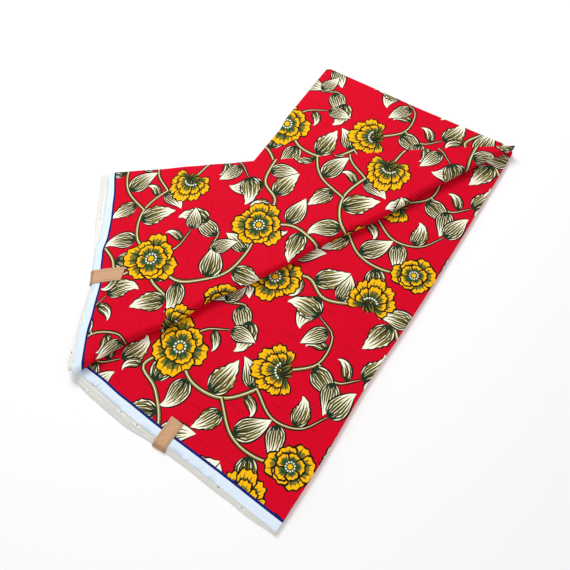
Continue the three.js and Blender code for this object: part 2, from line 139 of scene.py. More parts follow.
@dataclass(frozen=True)
class Packet:
    """The folded packet's sizes and the curves that its cloths follow.

    Attributes:
        width: across the packet, along its selvedges.
        length: along its folded edges.
        middle: the plan point under the middle of the whole.
        hidden: height of the hidden layers of one stack.
        stack: height of one stack with its visible cloth.
        levels: where the lower, upper and flap stacks start.
        leaf_depth: how far the open selvedges reach in under the cloth.
        roll_depth: how deep the roll of the fold is.
        roll_thinnest: its least depth, at the far corner.
        roll_taper: how fast it thins towards that corner.
        ramp_start: where the flap starts to come down beside the packet.
        ramp_length: the way that it takes to come down.
        puff_height: how far the flap's face swells along the fold.
        puff_reach: how far from the fold it swells.
        right_edge: the drift of the packet's right folded edge.
        left_edge: the drift of its left folded edge.
        far_edge: the drift of its far end.
        near_edge: the drift of the selvedge at its near end.
        flap_long_edge: the drift of the flap's long folded edge.
        flap_selvedge: the drift of the flap's selvedge.
        fold_wave: the drift of the corner to corner fold.
        near_leaves: how far the lowest open selvedge stands out at the near end.
        flap_leaves: how far it stands out at the flap's end.
    """

    width: float = 308.0
    length: float = 585.0
    middle: tuple[float, float] = (62.2, 286.8)
    hidden: float = 4.9
    stack: float = 6.2
    levels: tuple[float, float, float] = (0.0, 6.5, 13.0)
    leaf_depth: float = 42.0
    roll_depth: float = 6.4
    roll_thinnest: float = 0.9
    roll_taper: float = 0.16
    ramp_start: float = -3.0
    ramp_length: float = 110.0
    puff_height: float = 1.4
    puff_reach: float = 30.0
    right_edge: Drift = Drift((
        (0, -0.6), (82, 0.8), (182, -1.5), (321, 2.2), (422, 2.0), (533, 0.9), (585, 0)))
    left_edge: Drift = Drift(((0, 0), (400, -4.5), (440, -4.0), (475, 0.5), (585, 1.0)))
    far_edge: Drift = Drift(((0, 0), (60, -0.5), (160, -2.4), (260, -1.2), (308, 0)))
    near_edge: Drift = Drift((
        (0, -4.7), (28, -4.6), (70, -2.0), (130, -0.4), (209, -0.6), (308, 0.8)))
    flap_long_edge: Drift = Drift((
        (0, -0.8), (60, 0.8), (108, 1.4), (150, -1.6), (185, -4.2), (230, -2.4), (360, 0),
        (484, 2.0), (585, 0)))
    flap_selvedge: Drift = Drift((
        (0, -1.5), (49, -1.8), (79, -4.4), (120, -6.6), (157, -1.2), (174, 0.4), (195, -2.6),
        (225, -3.0), (262, -1.6), (308, 2.4)))
    fold_wave: Drift = Drift((
        (0, 0.5), (49, -2.6), (89, -4.4), (141, 1.8), (188, -3.6), (240, 0.6), (300, 1.0),
        (343, -1.8), (384, 0.2), (440, 2.6), (480, 1.0), (515, -2.2), (606, -2.4), (661, 0)))
    near_leaves: Drift = Drift((
        (0, 5.5), (33, 8.9), (89, 11.3), (132, 7.6), (155, 5.8), (206, 5.7), (264, 6.4),
        (308, 4.6)))
    flap_leaves: Drift = Drift((
        (0, 5.0), (19, 8.5), (45, 3.6), (73, 3.9), (102, 0.8), (124, -1.6), (161, 2.4),
        (196, 6.9), (229, 10.5), (263, 12.6), (308, 15.2)))

    @property
    def diagonal(self) -> float:
        """The length of the corner to corner fold."""
        return math.hypot(self.width, self.length)

    @property
    def along(self) -> np.ndarray:
        """The direction of the fold on the plan."""
        return np.array([self.width, self.length]) / self.diagonal

    @property
    def across(self) -> np.ndarray:
        """The direction from the fold over the flap on the plan."""
        return np.array([-self.along[1], self.along[0]])

    def turn_over(self, flat: np.ndarray) -> np.ndarray:
        """Turns points of the unfolded packet over the diagonal.

        Args:
            flat: points as the packet lay before the fold.

        Returns:
            The points where the flap carries them.
        """
        return 2.0 * (flat @ self.along)[:, None] * self.along - flat

    def behind_fold(self, distance: np.ndarray, behind: np.ndarray) -> np.ndarray:
        """Finds plan points by their place at the fold.

        Args:
            distance: how far along the fold.
            behind: how far behind its front line.

        Returns:
            The plan points.
        """
        side = behind - self.fold_wave.out(distance)
        return distance[:, None] * self.along + side[:, None] * self.across

    def roll(self, distance: np.ndarray) -> np.ndarray:
        """How deep the roll of the fold is: it thins towards the far corner."""
        return np.clip(self.roll_taper * (self.diagonal - distance),
                       self.roll_thinnest, self.roll_depth)

    def sink(self, x: np.ndarray) -> np.ndarray:
        """How far the flap comes down beside the packet."""
        return self.levels[2] * smooth((self.ramp_start - x) / self.ramp_length)

    def puff(self, plan: np.ndarray) -> np.ndarray:
        """How much the flap's face swells along the fold.

        Args:
            plan: points on the plan.

        Returns:
            The swell at each point.
        """
        distance = plan @ self.along
        side = plan @ self.across + self.fold_wave.out(distance)
        ends = smooth(distance / 90) * smooth((self.diagonal - distance) / 120)
        return self.puff_height * ends * np.exp(-((side / self.puff_reach) ** 2))

    def to_frame(self, plan: np.ndarray, height: np.ndarray | float) -> np.ndarray:
        """Turns plan points and heights into points of the shared frame.

        Args:
            plan: points on the plan.
            height: the height of each.

        Returns:
            Points in metres.
        """
        high = np.broadcast_to(np.asarray(height, float), (len(plan),))
        return np.column_stack([plan - np.array(self.middle), high]) * MM


def linear(colour: Sequence[float]) -> tuple[float, float, float, float]:
    """Turns a screen's red, green and blue into a linear colour.

    Args:
        colour: the three parts, from 0 to 255.

    Returns:
        The linear colour with its alpha.
    """
    part = [c / 255 for c in colour]
    rgb = [c / 12.92 if c <= 0.04045 else ((c + 0.055) / 1.055) ** 2.4 for c in part]
    return (rgb[0], rgb[1], rgb[2], 1.0)


class Ink(Enum):
    """The inks of the print and the bare cloths, as red, green and blue of a screen."""

    GROUND = (214, 3, 36)
    CRACKLE = (128, 4, 22)
    OUTLINE = (34, 22, 18)
    GREEN = (50, 84, 44)
    LEAF = (34, 54, 34)
    OLIVE = (142, 122, 42)
    STEM = (146, 124, 52)
    CREAM = (252, 250, 226)
    YELLOW = (255, 190, 12)
    GOLD = (196, 140, 18)
    WHITE = (252, 252, 246)
    NAVY = (20, 34, 112)
    SELVEDGE = (224, 238, 252)
    LINEN = (252, 252, 244)

    @property
    def linear(self) -> tuple[float, float, float, float]:
        """The ink as a linear colour."""
        return linear(self.value)


@dataclass(frozen=True)
class Patch:
    """One flat shape of one ink on the laid-out cloth.

    Attributes:
        outline: its points.
        ink: its ink.
    """

    outline: np.ndarray
    ink: Ink


def turned(points: np.ndarray, degrees: float, to: Sequence[float]) -> np.ndarray:
    """Turns flat points about zero and moves them.

    Args:
        points: the points.
        degrees: the turn to the left.
        to: where zero goes.

    Returns:
        The moved points.
    """
    c, s = math.cos(math.radians(degrees)), math.sin(math.radians(degrees))
    return points @ np.array([[c, s], [-s, c]]) + np.asarray(to, float)


def flowing(points: Sequence[Sequence[float]], step: float) -> np.ndarray:
    """Draws a smooth line through a few points.

    Args:
        points: the points that it passes.
        step: about how far apart the drawn points are.

    Returns:
        The points of the line.
    """
    p = np.array(points, float)
    p = np.vstack([2 * p[0] - p[1], p, 2 * p[-1] - p[-2]])
    line = [p[1]]
    for a, b, c, d in zip(p, p[1:], p[2:], p[3:]):
        count = max(2, round(float(np.linalg.norm(c - b)) / step))
        for t in np.arange(1, count + 1) / count:
            line.append(0.5 * (2 * b + (c - a) * t + (2 * a - 5 * b + 4 * c - d) * t * t
                               + (3 * b - a - 3 * c + d) * t ** 3))
    return np.array(line)


def sideways(line: np.ndarray) -> np.ndarray:
    """The direction to the left of a line at each of its points.

    Args:
        line: the line's points.

    Returns:
        The direction at each of them.
    """
    run = np.gradient(line, axis=0)
    run /= np.linalg.norm(run, axis=1)[:, None]
    return np.column_stack([-run[:, 1], run[:, 0]])


def ribbon(line: np.ndarray, half: np.ndarray | float) -> np.ndarray:
    """Makes a closed outline along a line.

    Args:
        line: the points of its middle.
        half: half its width, at each point or all along.

    Returns:
        The outline.
    """
    out = sideways(line) * np.broadcast_to(half, (len(line),))[:, None]
    return np.vstack([line + out, (line - out)[::-1]])


@dataclass(frozen=True)
class Leaf:
    """A leaf with long hatched veins, dark at its base and pale at its tip.

    Attributes:
        base: where its stalk meets it.
        heading: the way that it points, in degrees.
        length: from base to tip.
        width: at its widest.
        bend: how far its midrib turns on the way, in degrees.
        curl: how far its tip turns further, in degrees.
        cover: the share of its length that the veins cover.
        veins: how many veins it has.
        notches: how deep its margin is toothed.
        body: the ink of its face.
        vein: the ink of its veins.
        heart: the ink of its base.
    """

    base: tuple[float, float]
    heading: float
    length: float = 42.0
    width: float = 22.0
    bend: float = 20.0
    curl: float = 0.0
    cover: float = 0.9
    veins: int = 8
    notches: float = 0.0
    body: Ink = Ink.CREAM
    vein: Ink = Ink.OLIVE
    heart: Ink = Ink.LEAF

    def midrib(self, count: int = 15) -> np.ndarray:
        """Draws the line from base to tip.

        Args:
            count: how many steps it takes.

        Returns:
            Its points.
        """
        t = (np.arange(count) + 0.5) / count
        turn = np.radians(self.heading + self.bend * t + self.curl * t ** 4)
        step = np.column_stack([np.cos(turn), np.sin(turn)]) * self.length / count
        return np.vstack([[0, 0], np.cumsum(step, axis=0)]) + np.array(self.base)

    def half_width(self, t: np.ndarray) -> np.ndarray:
        """Half the leaf's width at shares of its length.

        Args:
            t: shares of its length.

        Returns:
            Half its width at each.
        """
        shape = np.sin(np.pi * np.clip(t, 0, 1) ** 0.72) ** 0.9 * (1 - 0.25 * t)
        teeth = 1 + self.notches * (((t * 6.0) % 1.0) - 0.5) * smooth((t - 0.25) / 0.2)
        return self.width / 2 * 1.12 * shape * teeth

    def at(self, line: np.ndarray, out: np.ndarray, t: np.ndarray, q: np.ndarray) -> np.ndarray:
        """Finds points on the leaf.

        Args:
            line: its midrib.
            out: the direction to the left along it.
            t: shares of its length.
            q: shares of its half width, negative to the right.

        Returns:
            The points.
        """
        place = t * (len(line) - 1)
        x = np.array([np.interp(place, np.arange(len(line)), line[:, k]) for k in (0, 1)]).T
        n = np.array([np.interp(place, np.arange(len(line)), out[:, k]) for k in (0, 1)]).T
        return x + n * (self.half_width(t) * q)[:, None]

    def patches(self) -> list[Patch]:
        """Draws the leaf as flat shapes, the lowest first.

        Returns:
            The flat shapes.
        """
        line = self.midrib()
        out = sideways(line)
        t = np.linspace(0, 1, len(line))
        rim = self.half_width(t)
        edge = ribbon(line, rim + 2.3 * np.sin(np.pi * np.clip(t + 0.02, 0, 1)) ** 0.3)
        tip = line[-1] + (line[-1] - line[-2]) * 0.3
        count = len(line)
        edge = np.vstack([edge[:count], [tip], edge[count:]])
        shapes = [Patch(edge, Ink.OUTLINE), Patch(ribbon(line[1:], rim[1:] + 0.02), self.body)]
        reach = np.array([0.84, 1.0, 0.78, 0.96, 0.72, 1.0, 0.8, 0.92, 0.76, 0.98])
        base = np.array([0.01, 0.09, 0.2, 0.1, 0.22, 0.09, 0.19, 0.08, 0.01])
        side = np.array([-1.0, -0.95, -0.62, -0.4, 0.0, 0.3, 0.58, 0.95, 1.0])
        foot = self.at(line, out, base, side)
        spacing = 1.72 / self.veins
        for ink, share, places, widths in (
                (self.vein, 1.0, (0.1, 0.4, 0.74, 1.0), (0.5, 0.48, 0.42, 0.08)),
                (self.heart, 0.9, (0.1, 0.5, 1.0), (0.44, 0.26, 0.08))):
            for k in range(self.veins):
                q = -0.86 + 1.72 * k / (self.veins - 1)
                far = share * self.cover * reach[k % len(reach)] * (1 - 0.12 * abs(q))
                along = far * np.array(places)
                thick = spacing * np.array(widths)
                left = self.at(line, out, along, q + thick)
                right = self.at(line, out, along, q - thick)
                shapes.append(Patch(np.vstack([left, right[::-1]]), ink))
        shapes.append(Patch(foot, self.heart))
        rib = line[1:-3:2]
        shapes.append(Patch(ribbon(rib, np.linspace(0.55, 0.2, len(rib))), Ink.OUTLINE))
        return shapes


class Bloom(Enum):
    """The ways that a flower shows itself."""

    OPEN = "open"
    SIDE = "side"


@dataclass(frozen=True)
class Flower:
    """A yellow flower with hatched green hearts to its petals.

    Attributes:
        centre: the middle of its disc, or the base of one seen from the side.
        radius: to the tips of its outer petals.
        turn: its turn in degrees.
        bloom: how it shows itself.
        petals: the number of outer petals of an open one.
    """

    centre: tuple[float, float]
    radius: float = 30.0
    turn: float = 0.0
    bloom: Bloom = Bloom.OPEN
    petals: int = 7

    def petal(self, facing: float, start: float, reach: float, half: float) -> list[Patch]:
        """Draws one petal.

        Args:
            facing: the way that it points, in degrees.
            start: how far out it starts.
            reach: how far out its tip is.
            half: half the angle that it takes, in degrees.

        Returns:
            Its flat shapes, the lowest first.
        """
        share = np.linspace(-1, 1, 13)
        scallop = 1 - 0.20 * share ** 4 - 0.05 * share ** 2
        scallop += 0.05 * np.cos(3.6 * np.pi * share + 0.05 * facing)

        def blade(grow: float, size: float, narrow: float) -> np.ndarray:
            """Draws the petal's outline at a size, grown by a rim.

            Args:
                grow: the width of the rim.
                size: its share of the petal.
                narrow: its share of the petal's width.

            Returns:
                The outline.
            """
            radius = start + (reach - start) * scallop * size + grow
            angle = np.radians(share * half * narrow)
            angle = angle * (1 + grow / max(reach * np.radians(half), 1.0))
            margin = np.column_stack([radius * np.cos(angle), radius * np.sin(angle)])
            waist = start + (reach - start) * 0.42 * size
            foot_angle = np.radians(half * narrow * 0.86) + grow / max(waist, 1.0)
            side = np.array([[waist * math.cos(foot_angle), waist * math.sin(foot_angle)]])
            foot = np.array([[start, start * 0.34 * narrow + grow * 0.5]])
            return np.vstack([margin, side, foot, foot * [1, -1], side * [1, -1]])

        shapes = [(blade(1.9, 1.0, 1.0), Ink.OUTLINE), (blade(0.0, 1.0, 1.0), Ink.YELLOW),
                  (blade(0.0, 0.76, 0.86)[::2], Ink.OLIVE), (blade(0.0, 0.62, 0.8)[::2], Ink.GREEN)]
        ends = (0.8, 0.9, 0.84, 0.92, 0.82) if reach > 20 else (0.84, 0.92, 0.82)
        for k, end in enumerate(ends):
            angle = math.radians(half * 0.7 * (2 * k / (len(ends) - 1) - 1))
            way = np.array([math.cos(angle), math.sin(angle)])
            radius = start + (reach - start) * np.array([0.5, 0.7, end])
            thick = reach * math.radians(half) * np.array([0.08, 0.06, 0.01])
            shapes.append((ribbon(radius[:, None] * way, thick), Ink.GREEN if k % 2 else Ink.OLIVE))
            inner = start + (reach - start) * np.array([0.1, end * 0.9])
            thick = reach * math.radians(half) * np.array([0.03, 0.008])
            shapes.append((ribbon(inner[:, None] * way, thick), Ink.LEAF))
        return [Patch(turned(shape, facing + self.turn, self.centre), ink)
                for shape, ink in shapes]

    def ring(self, radius: float, ink: Ink, count: int = 14, at: Sequence[float] = (0, 0),
             wave: float = 0.0) -> Patch:
        """Draws a round patch, with a waved rim if asked.

        Args:
            radius: its radius.
            ink: its ink.
            count: how many points it has.
            at: its middle, from the flower's.
            wave: how far its rim waves, as a share.

        Returns:
            The patch.
        """
        a = np.arange(count) * 2 * math.pi / count
        r = radius * (1 + wave * np.cos(np.arange(count) * math.pi))
        points = np.column_stack([r * np.cos(a), r * np.sin(a)]) + np.asarray(at, float)
        return Patch(turned(points, self.turn, self.centre), ink)

    def disc(self) -> list[Patch]:
        """Draws the disc of an open flower with its ring of pale dots.

        Returns:
            The flat shapes.
        """
        size = self.radius
        shapes = [self.ring(size * 0.27, Ink.GREEN, 20, wave=0.12)]
        for k in range(11):
            a = 2 * math.pi * k / 11
            at = (size * 0.205 * math.cos(a), size * 0.205 * math.sin(a))
            shapes.append(self.ring(size * 0.038, Ink.WHITE, 8, at))
        shapes.append(self.ring(size * 0.125, Ink.GOLD))
        shapes.append(self.ring(size * 0.105, Ink.YELLOW))
        return shapes

    def patches(self) -> list[Patch]:
        """Draws the flower as flat shapes, the lowest first.

        Returns:
            The flat shapes.
        """
        size = self.radius
        shapes: list[Patch] = []
        if self.bloom is Bloom.OPEN:
            gap = 360 / self.petals
            order = [*range(0, self.petals, 2), *range(1, self.petals, 2)]
            reaches = (1.04, 0.86, 1.12, 0.84, 0.98, 1.08, 0.88, 1.0)
            for k in order:
                shapes += self.petal(k * gap + 5 * (k % 3), size * 0.18, size * reaches[k % 8],
                                     gap * (0.6 + 0.05 * (k % 2)))
            for k in (0, 2, 4, 1, 3):
                shapes += self.petal(k * 72 + 26, size * 0.1, size * (0.56 + 0.07 * (k % 3)), 37)
            return shapes + self.disc()
        for facing, reach in ((-98, 0.7), (96, 0.76), (-66, 0.92), (64, 0.86), (-30, 1.04),
                              (32, 1.0), (2, 1.12)):
            shapes += self.petal(facing, size * 0.12, size * reach, 22)
        for facing, reach in ((-70, 0.6), (66, 0.58), (-34, 0.72), (34, 0.68), (0, 0.78)):
            shapes += self.petal(facing, size * 0.08, size * reach, 22)
        for k in range(7):
            a = math.radians(-54 + 18 * k)
            at = (size * 0.3 * math.cos(a), size * 0.3 * math.sin(a))
            shapes.append(self.ring(size * 0.035, Ink.WHITE, 8, at))
        for facing in (150, 180, 212):
            base = turned(np.array([[size * 0.1, 0.0]]), self.turn, self.centre)[0]
            shapes += Leaf((base[0], base[1]), self.turn + facing, size * 0.42, size * 0.2,
                           bend=14, veins=4, body=Ink.OLIVE, vein=Ink.GREEN,
                           cover=0.8).patches()
        return shapes


@dataclass(frozen=True)
class Stem:
    """A climbing stem with a dark edge and a pale line along its middle.

    Attributes:
        points: the places that it passes.
        half: half its width in the middle of its run.
        tapers: whether it thins to a point at its end.
    """

    points: tuple[tuple[float, float], ...]
    half: float = 2.0
    tapers: bool = False

    def line(self) -> np.ndarray:
        """Draws the stem's middle."""
        return flowing(self.points, 7.0)

    def patches(self) -> list[Patch]:
        """Draws the stem as flat shapes, the lowest first.

        Returns:
            The flat shapes.
        """
        line = self.line()
        t = np.linspace(0, 1, len(line))
        half = self.half * (1 - 0.75 * t ** 2) if self.tapers else np.full(len(line), self.half)
        return [Patch(ribbon(line, half + 1.5), Ink.OUTLINE), Patch(ribbon(line, half), Ink.STEM),
                Patch(ribbon(line + sideways(line) * (half * 0.15)[:, None], half * 0.24), Ink.CREAM)]


@dataclass(frozen=True)
class Sprig:
    """A leaf that grows from a stem of the repeat.

    Attributes:
        stem: the stem's number.
        share: how far along the stem it grows.
        lean: its angle to the stem, negative to the right.
        length: from base to tip.
        width: at its widest.
        bend: how far its midrib turns.
        curl: how far its tip turns further.
        cover: the share of its length that its veins cover.
        notches: how deep its margin is toothed.
    """

    stem: int
    share: float
    lean: float
    length: float = 42.0
    width: float = 22.0
    bend: float = 20.0
    curl: float = 0.0
    cover: float = 0.9
    notches: float = 0.0

    def leaf(self, line: np.ndarray) -> Leaf:
        """Grows the leaf.

        Args:
            line: the stem's middle.

        Returns:
            The leaf in its place.
        """
        place = self.share * (len(line) - 1)
        k = min(int(place), len(line) - 2)
        run = line[k + 1] - line[k]
        heading = math.degrees(math.atan2(run[1], run[0])) + self.lean
        base = line[k] + run * (place - k)
        way = np.array([math.cos(math.radians(heading)), math.sin(math.radians(heading))])
        base = base + way * 3.0
        return Leaf((base[0], base[1]), heading, self.length, self.width, self.bend, self.curl,
                    self.cover, 8 if self.width > 23 else 7 if self.width > 13 else 4,
                    self.notches)


@dataclass(frozen=True)
class Repeat:
    """The print's repeat: flowers, climbing stems and leaves, charted one by one.

    Neighbouring columns are set half a repeat higher.

    Attributes:
        size: the width and height of one repeat.
        flowers: the flowers, laid over everything.
        stems: the stems, laid lowest.
        sprigs: the leaves that grow from the stems.
    """

    size: tuple[float, float] = (264.0, 280.0)
    flowers: tuple[Flower, ...] = (
        Flower((58, 62), 35, 12),
        Flower((186, 108), 36, 205, Bloom.SIDE),
        Flower((104, 206), 33, 40, petals=8),
        Flower((226, 236), 34, 100, Bloom.SIDE),
        Flower((252, 22), 25, 75, petals=6),
    )
    stems: tuple[Stem, ...] = (
        Stem(((58, 62), (22, 104), (28, 156), (62, 190), (104, 206))),
        Stem(((104, 206), (140, 228), (176, 214), (226, 236))),
        Stem(((226, 236), (262, 230), (290, 206), (322, 202))),
        Stem(((58, 62), (96, 36), (140, 40), (170, 72), (186, 108))),
        Stem(((140, 40), (176, 12), (214, 8), (252, 22)), 1.7),
        Stem(((186, 108), (216, 138), (212, 176), (184, 190)), 1.7, True),
        Stem(((104, 206), (98, 252), (66, 284), (34, 300), (58, 342))),
        Stem(((28, 156), (66, 142), (96, 152), (112, 138)), 1.6, True),
        Stem(((216, 138), (246, 130), (268, 148)), 1.5, True),
        Stem(((170, 72), (204, 54), (238, 62), (258, 90)), 1.6, True),
        Stem(((58, 62), (70, 96), (98, 114)), 1.5, True),
    )
    sprigs: tuple[Sprig, ...] = (
        Sprig(0, 0.26, 62, 44, 24, 30, 40, 0.86), Sprig(0, 0.45, -58, 50, 28, -24, 0, 0.94),
        Sprig(0, 0.62, 66, 46, 26, 22, -70, 0.84, 0.3), Sprig(0, 0.78, -60, 40, 21, -30, 0, 0.9),
        Sprig(1, 0.36, 60, 48, 27, 20, 0, 0.84, 0.3), Sprig(1, 0.54, -66, 50, 28, -16, 60, 0.94),
        Sprig(1, 0.72, 58, 40, 22, 34, 0, 0.92),
        Sprig(2, 0.34, -62, 46, 26, -22, 0, 0.86, 0.3), Sprig(2, 0.62, 60, 38, 20, 36, 60, 0.95),
        Sprig(3, 0.24, -60, 46, 25, -20, -50, 0.9), Sprig(3, 0.42, 64, 52, 29, 18, 0, 0.86, 0.34),
        Sprig(3, 0.66, -52, 30, 10, -60, -60, 0.8), Sprig(3, 0.72, 62, 42, 21, 40, 0, 0.9),
        Sprig(4, 0.36, 66, 48, 26, 26, 0, 0.9), Sprig(4, 0.60, -60, 44, 24, -26, 50, 0.94, 0.3),
        Sprig(5, 0.30, -62, 44, 24, -24, 0, 0.92), Sprig(5, 0.56, 66, 30, 11, 60, 60, 0.8),
        Sprig(5, 0.98, 6, 48, 26, 26, 40, 0.86, 0.3), Sprig(5, 0.80, 70, 38, 20, 20, 0, 0.9),
        Sprig(6, 0.22, -60, 46, 25, -18, 0, 0.84), Sprig(6, 0.36, 64, 46, 25, 30, -60, 0.92, 0.3),
        Sprig(6, 0.56, -66, 50, 27, -20, 0, 0.88), Sprig(6, 0.70, 62, 30, 10, 70, 60, 0.8),
        Sprig(7, 0.42, 64, 36, 19, 30, 0, 0.9), Sprig(7, 0.66, -60, 42, 23, -24, 0, 0.86),
        Sprig(7, 0.98, -8, 46, 25, -30, -50, 0.9, 0.3),
        Sprig(8, 0.40, -60, 40, 21, -26, 0, 0.92), Sprig(8, 0.98, 10, 46, 25, 30, 60, 0.86, 0.3),
        Sprig(2, 0.14, 74, 32, 11, 66, 50, 0.8), Sprig(6, 0.08, 60, 30, 11, -64, -50, 0.8),
        Sprig(9, 0.40, -62, 40, 21, -24, 0, 0.9), Sprig(9, 0.58, 62, 38, 20, 26, 50, 0.86, 0.3),
        Sprig(9, 0.98, 8, 44, 23, 24, -40, 0.92), Sprig(10, 0.66, -58, 30, 10, -50, -50, 0.8),
        Sprig(10, 0.98, -14, 36, 19, -20, 0, 0.9), Sprig(4, 0.12, -66, 40, 22, -22, 0, 0.88, 0.3),
        Sprig(8, 0.70, 62, 32, 11, 60, 50, 0.8), Sprig(1, 0.20, -70, 32, 11, -60, -50, 0.8),
    )

    def patches(self, origin: Sequence[float],
                shown: Callable[[np.ndarray], np.ndarray]) -> list[Patch]:
        """Prints the repeat over a cloth.

        Args:
            origin: where one repeat starts on the cloth.
            shown: says of points on the cloth whether a motif there shows.

        Returns:
            The flat shapes that fall where they show, the lowest first.
        """
        lines = [stem.line() for stem in self.stems]
        leaves = [sprig.leaf(lines[sprig.stem]) for sprig in self.sprigs]
        layers = [[m.patches() for m in group] for group in (self.stems, leaves, self.flowers)]
        found: list[Patch] = []
        wide, high = self.size
        for motifs in layers:
            for column in range(-6, 7):
                for row in range(-6, 7):
                    shift = np.array([column * wide, (row + 0.5 * (column % 2)) * high])
                    for shapes in motifs:
                        if shown(shapes[0].outline + shift + origin).any():
                            found += [Patch(s.outline + shift + origin, s.ink) for s in shapes]
        return found


@dataclass
class Shader:
    """A material's node tree, built up node by node.

    Attributes:
        name: the material's name.
        material: the material.
    """

    name: str
    material: bpy.types.Material = field(init=False)

    def __post_init__(self) -> None:
        """Starts the material with its surface shader."""
        self.material = bpy.data.materials.new(self.name)
        self.material.use_nodes = True
        self.tree = self.material.node_tree
        self.surface = self.tree.nodes["Principled BSDF"]

    def node(self, kind: str, **settings: object) -> bpy.types.Node:
        """Adds a node.

        Args:
            kind: Blender's name for it.
            settings: its own settings, or values for its unnamed sockets as in_NAME.

        Returns:
            The node.
        """
        made = self.tree.nodes.new(kind)
        for key, value in settings.items():
            if key.startswith("in_"):
                made.inputs[key[3:].replace("_", " ")].default_value = value
            else:
                setattr(made, key, value)
        return made

    def link(self, start: bpy.types.NodeSocket, end: bpy.types.NodeSocket) -> None:
        """Joins two sockets."""
        self.tree.links.new(start, end)

    def math(self, operation: str, first: object, second: object = 0.0) -> bpy.types.NodeSocket:
        """Adds a sum.

        Args:
            operation: Blender's name for it.
            first: a socket or a number.
            second: a socket or a number.

        Returns:
            The result's socket.
        """
        made = self.node("ShaderNodeMath", operation=operation)
        for k, value in enumerate((first, second)):
            if isinstance(value, bpy.types.NodeSocket):
                self.link(value, made.inputs[k])
            else:
                made.inputs[k].default_value = float(value)
        return made.outputs[0]

    def ranged(self, value: bpy.types.NodeSocket, low: float, high: float) -> bpy.types.NodeSocket:
        """Spreads a value from 0 to 1 over a range.

        Args:
            value: the value's socket.
            low: what 0 becomes.
            high: what 1 becomes.

        Returns:
            The result's socket.
        """
        made = self.node("ShaderNodeMapRange")
        made.inputs["To Min"].default_value = low
        made.inputs["To Max"].default_value = high
        self.link(value, made.inputs["Value"])
        return made.outputs["Result"]


@dataclass(frozen=True)
class ClothFinish:
    """Plain woven cotton whose colour comes from its inks.

    Attributes:
        name: the finish's name.
        roughness: the lowest and highest roughness.
        sheen: how much its fibres catch the light.
        gloss: the specular level that the wax leaves.
        yarns: yarns to each centimetre.
    """

    name: str = "waxed_cotton"
    roughness: tuple[float, float] = (0.56, 0.72)
    sheen: float = 0.02
    gloss: float = 0.04
    yarns: float = 22.0

    def material(self, size: tuple[float, float]) -> bpy.types.Material:
        """Makes the finish for a cloth.

        Args:
            size: the cloth's flat width and length in millimetres, over its UV map.

        Returns:
            The material.
        """
        s = Shader(self.name)
        ink = s.node("ShaderNodeAttribute", attribute_name="Ink")
        flat = s.node("ShaderNodeUVMap", uv_map="OFBake")
        scaled = s.node("ShaderNodeMapping")
        scaled.inputs["Scale"].default_value = (size[0], size[1], 1.0)
        s.link(flat.outputs["UV"], scaled.inputs["Vector"])
        place = scaled.outputs["Vector"]
        wash = s.node("ShaderNodeTexNoise", in_Scale=0.045, in_Detail=3.0)
        slub = s.node("ShaderNodeTexNoise", in_Scale=1.4, in_Detail=2.0)
        for noise in (wash, slub):
            s.link(place, noise.inputs["Vector"])
        parts = s.node("ShaderNodeSeparateXYZ")
        s.link(place, parts.inputs["Vector"])
        pitch = self.yarns * 0.1 * math.pi
        warp = s.math("SINE", s.math("MULTIPLY", parts.outputs["X"], pitch))
        weft = s.math("SINE", s.math("MULTIPLY", parts.outputs["Y"], pitch))
        weave = s.math("MULTIPLY", warp, weft)
        mottle = s.math("ADD", s.math("MULTIPLY", wash.outputs["Fac"], 0.10),
                        s.math("MULTIPLY", slub.outputs["Fac"], 0.10))
        value = s.math("ADD", s.math("ADD", mottle, 0.90), s.math("MULTIPLY", weave, 0.02))
        tone = s.node("ShaderNodeHueSaturation")
        s.link(ink.outputs["Color"], tone.inputs["Color"])
        s.link(value, tone.inputs["Value"])
        s.link(tone.outputs["Color"], s.surface.inputs["Base Color"])
        s.link(s.ranged(slub.outputs["Fac"], *self.roughness), s.surface.inputs["Roughness"])
        bump = s.node("ShaderNodeBump", in_Strength=0.35, in_Distance=0.0002)
        height = s.math("ADD", s.math("MULTIPLY", weave, 0.3), slub.outputs["Fac"])
        s.link(height, bump.inputs["Height"])
        s.link(bump.outputs["Normal"], s.surface.inputs["Normal"])
        s.surface.inputs["Sheen Weight"].default_value = self.sheen
        s.surface.inputs["Sheen Roughness"].default_value = 0.5
        s.surface.inputs["Specular IOR Level"].default_value = self.gloss
        return s.material


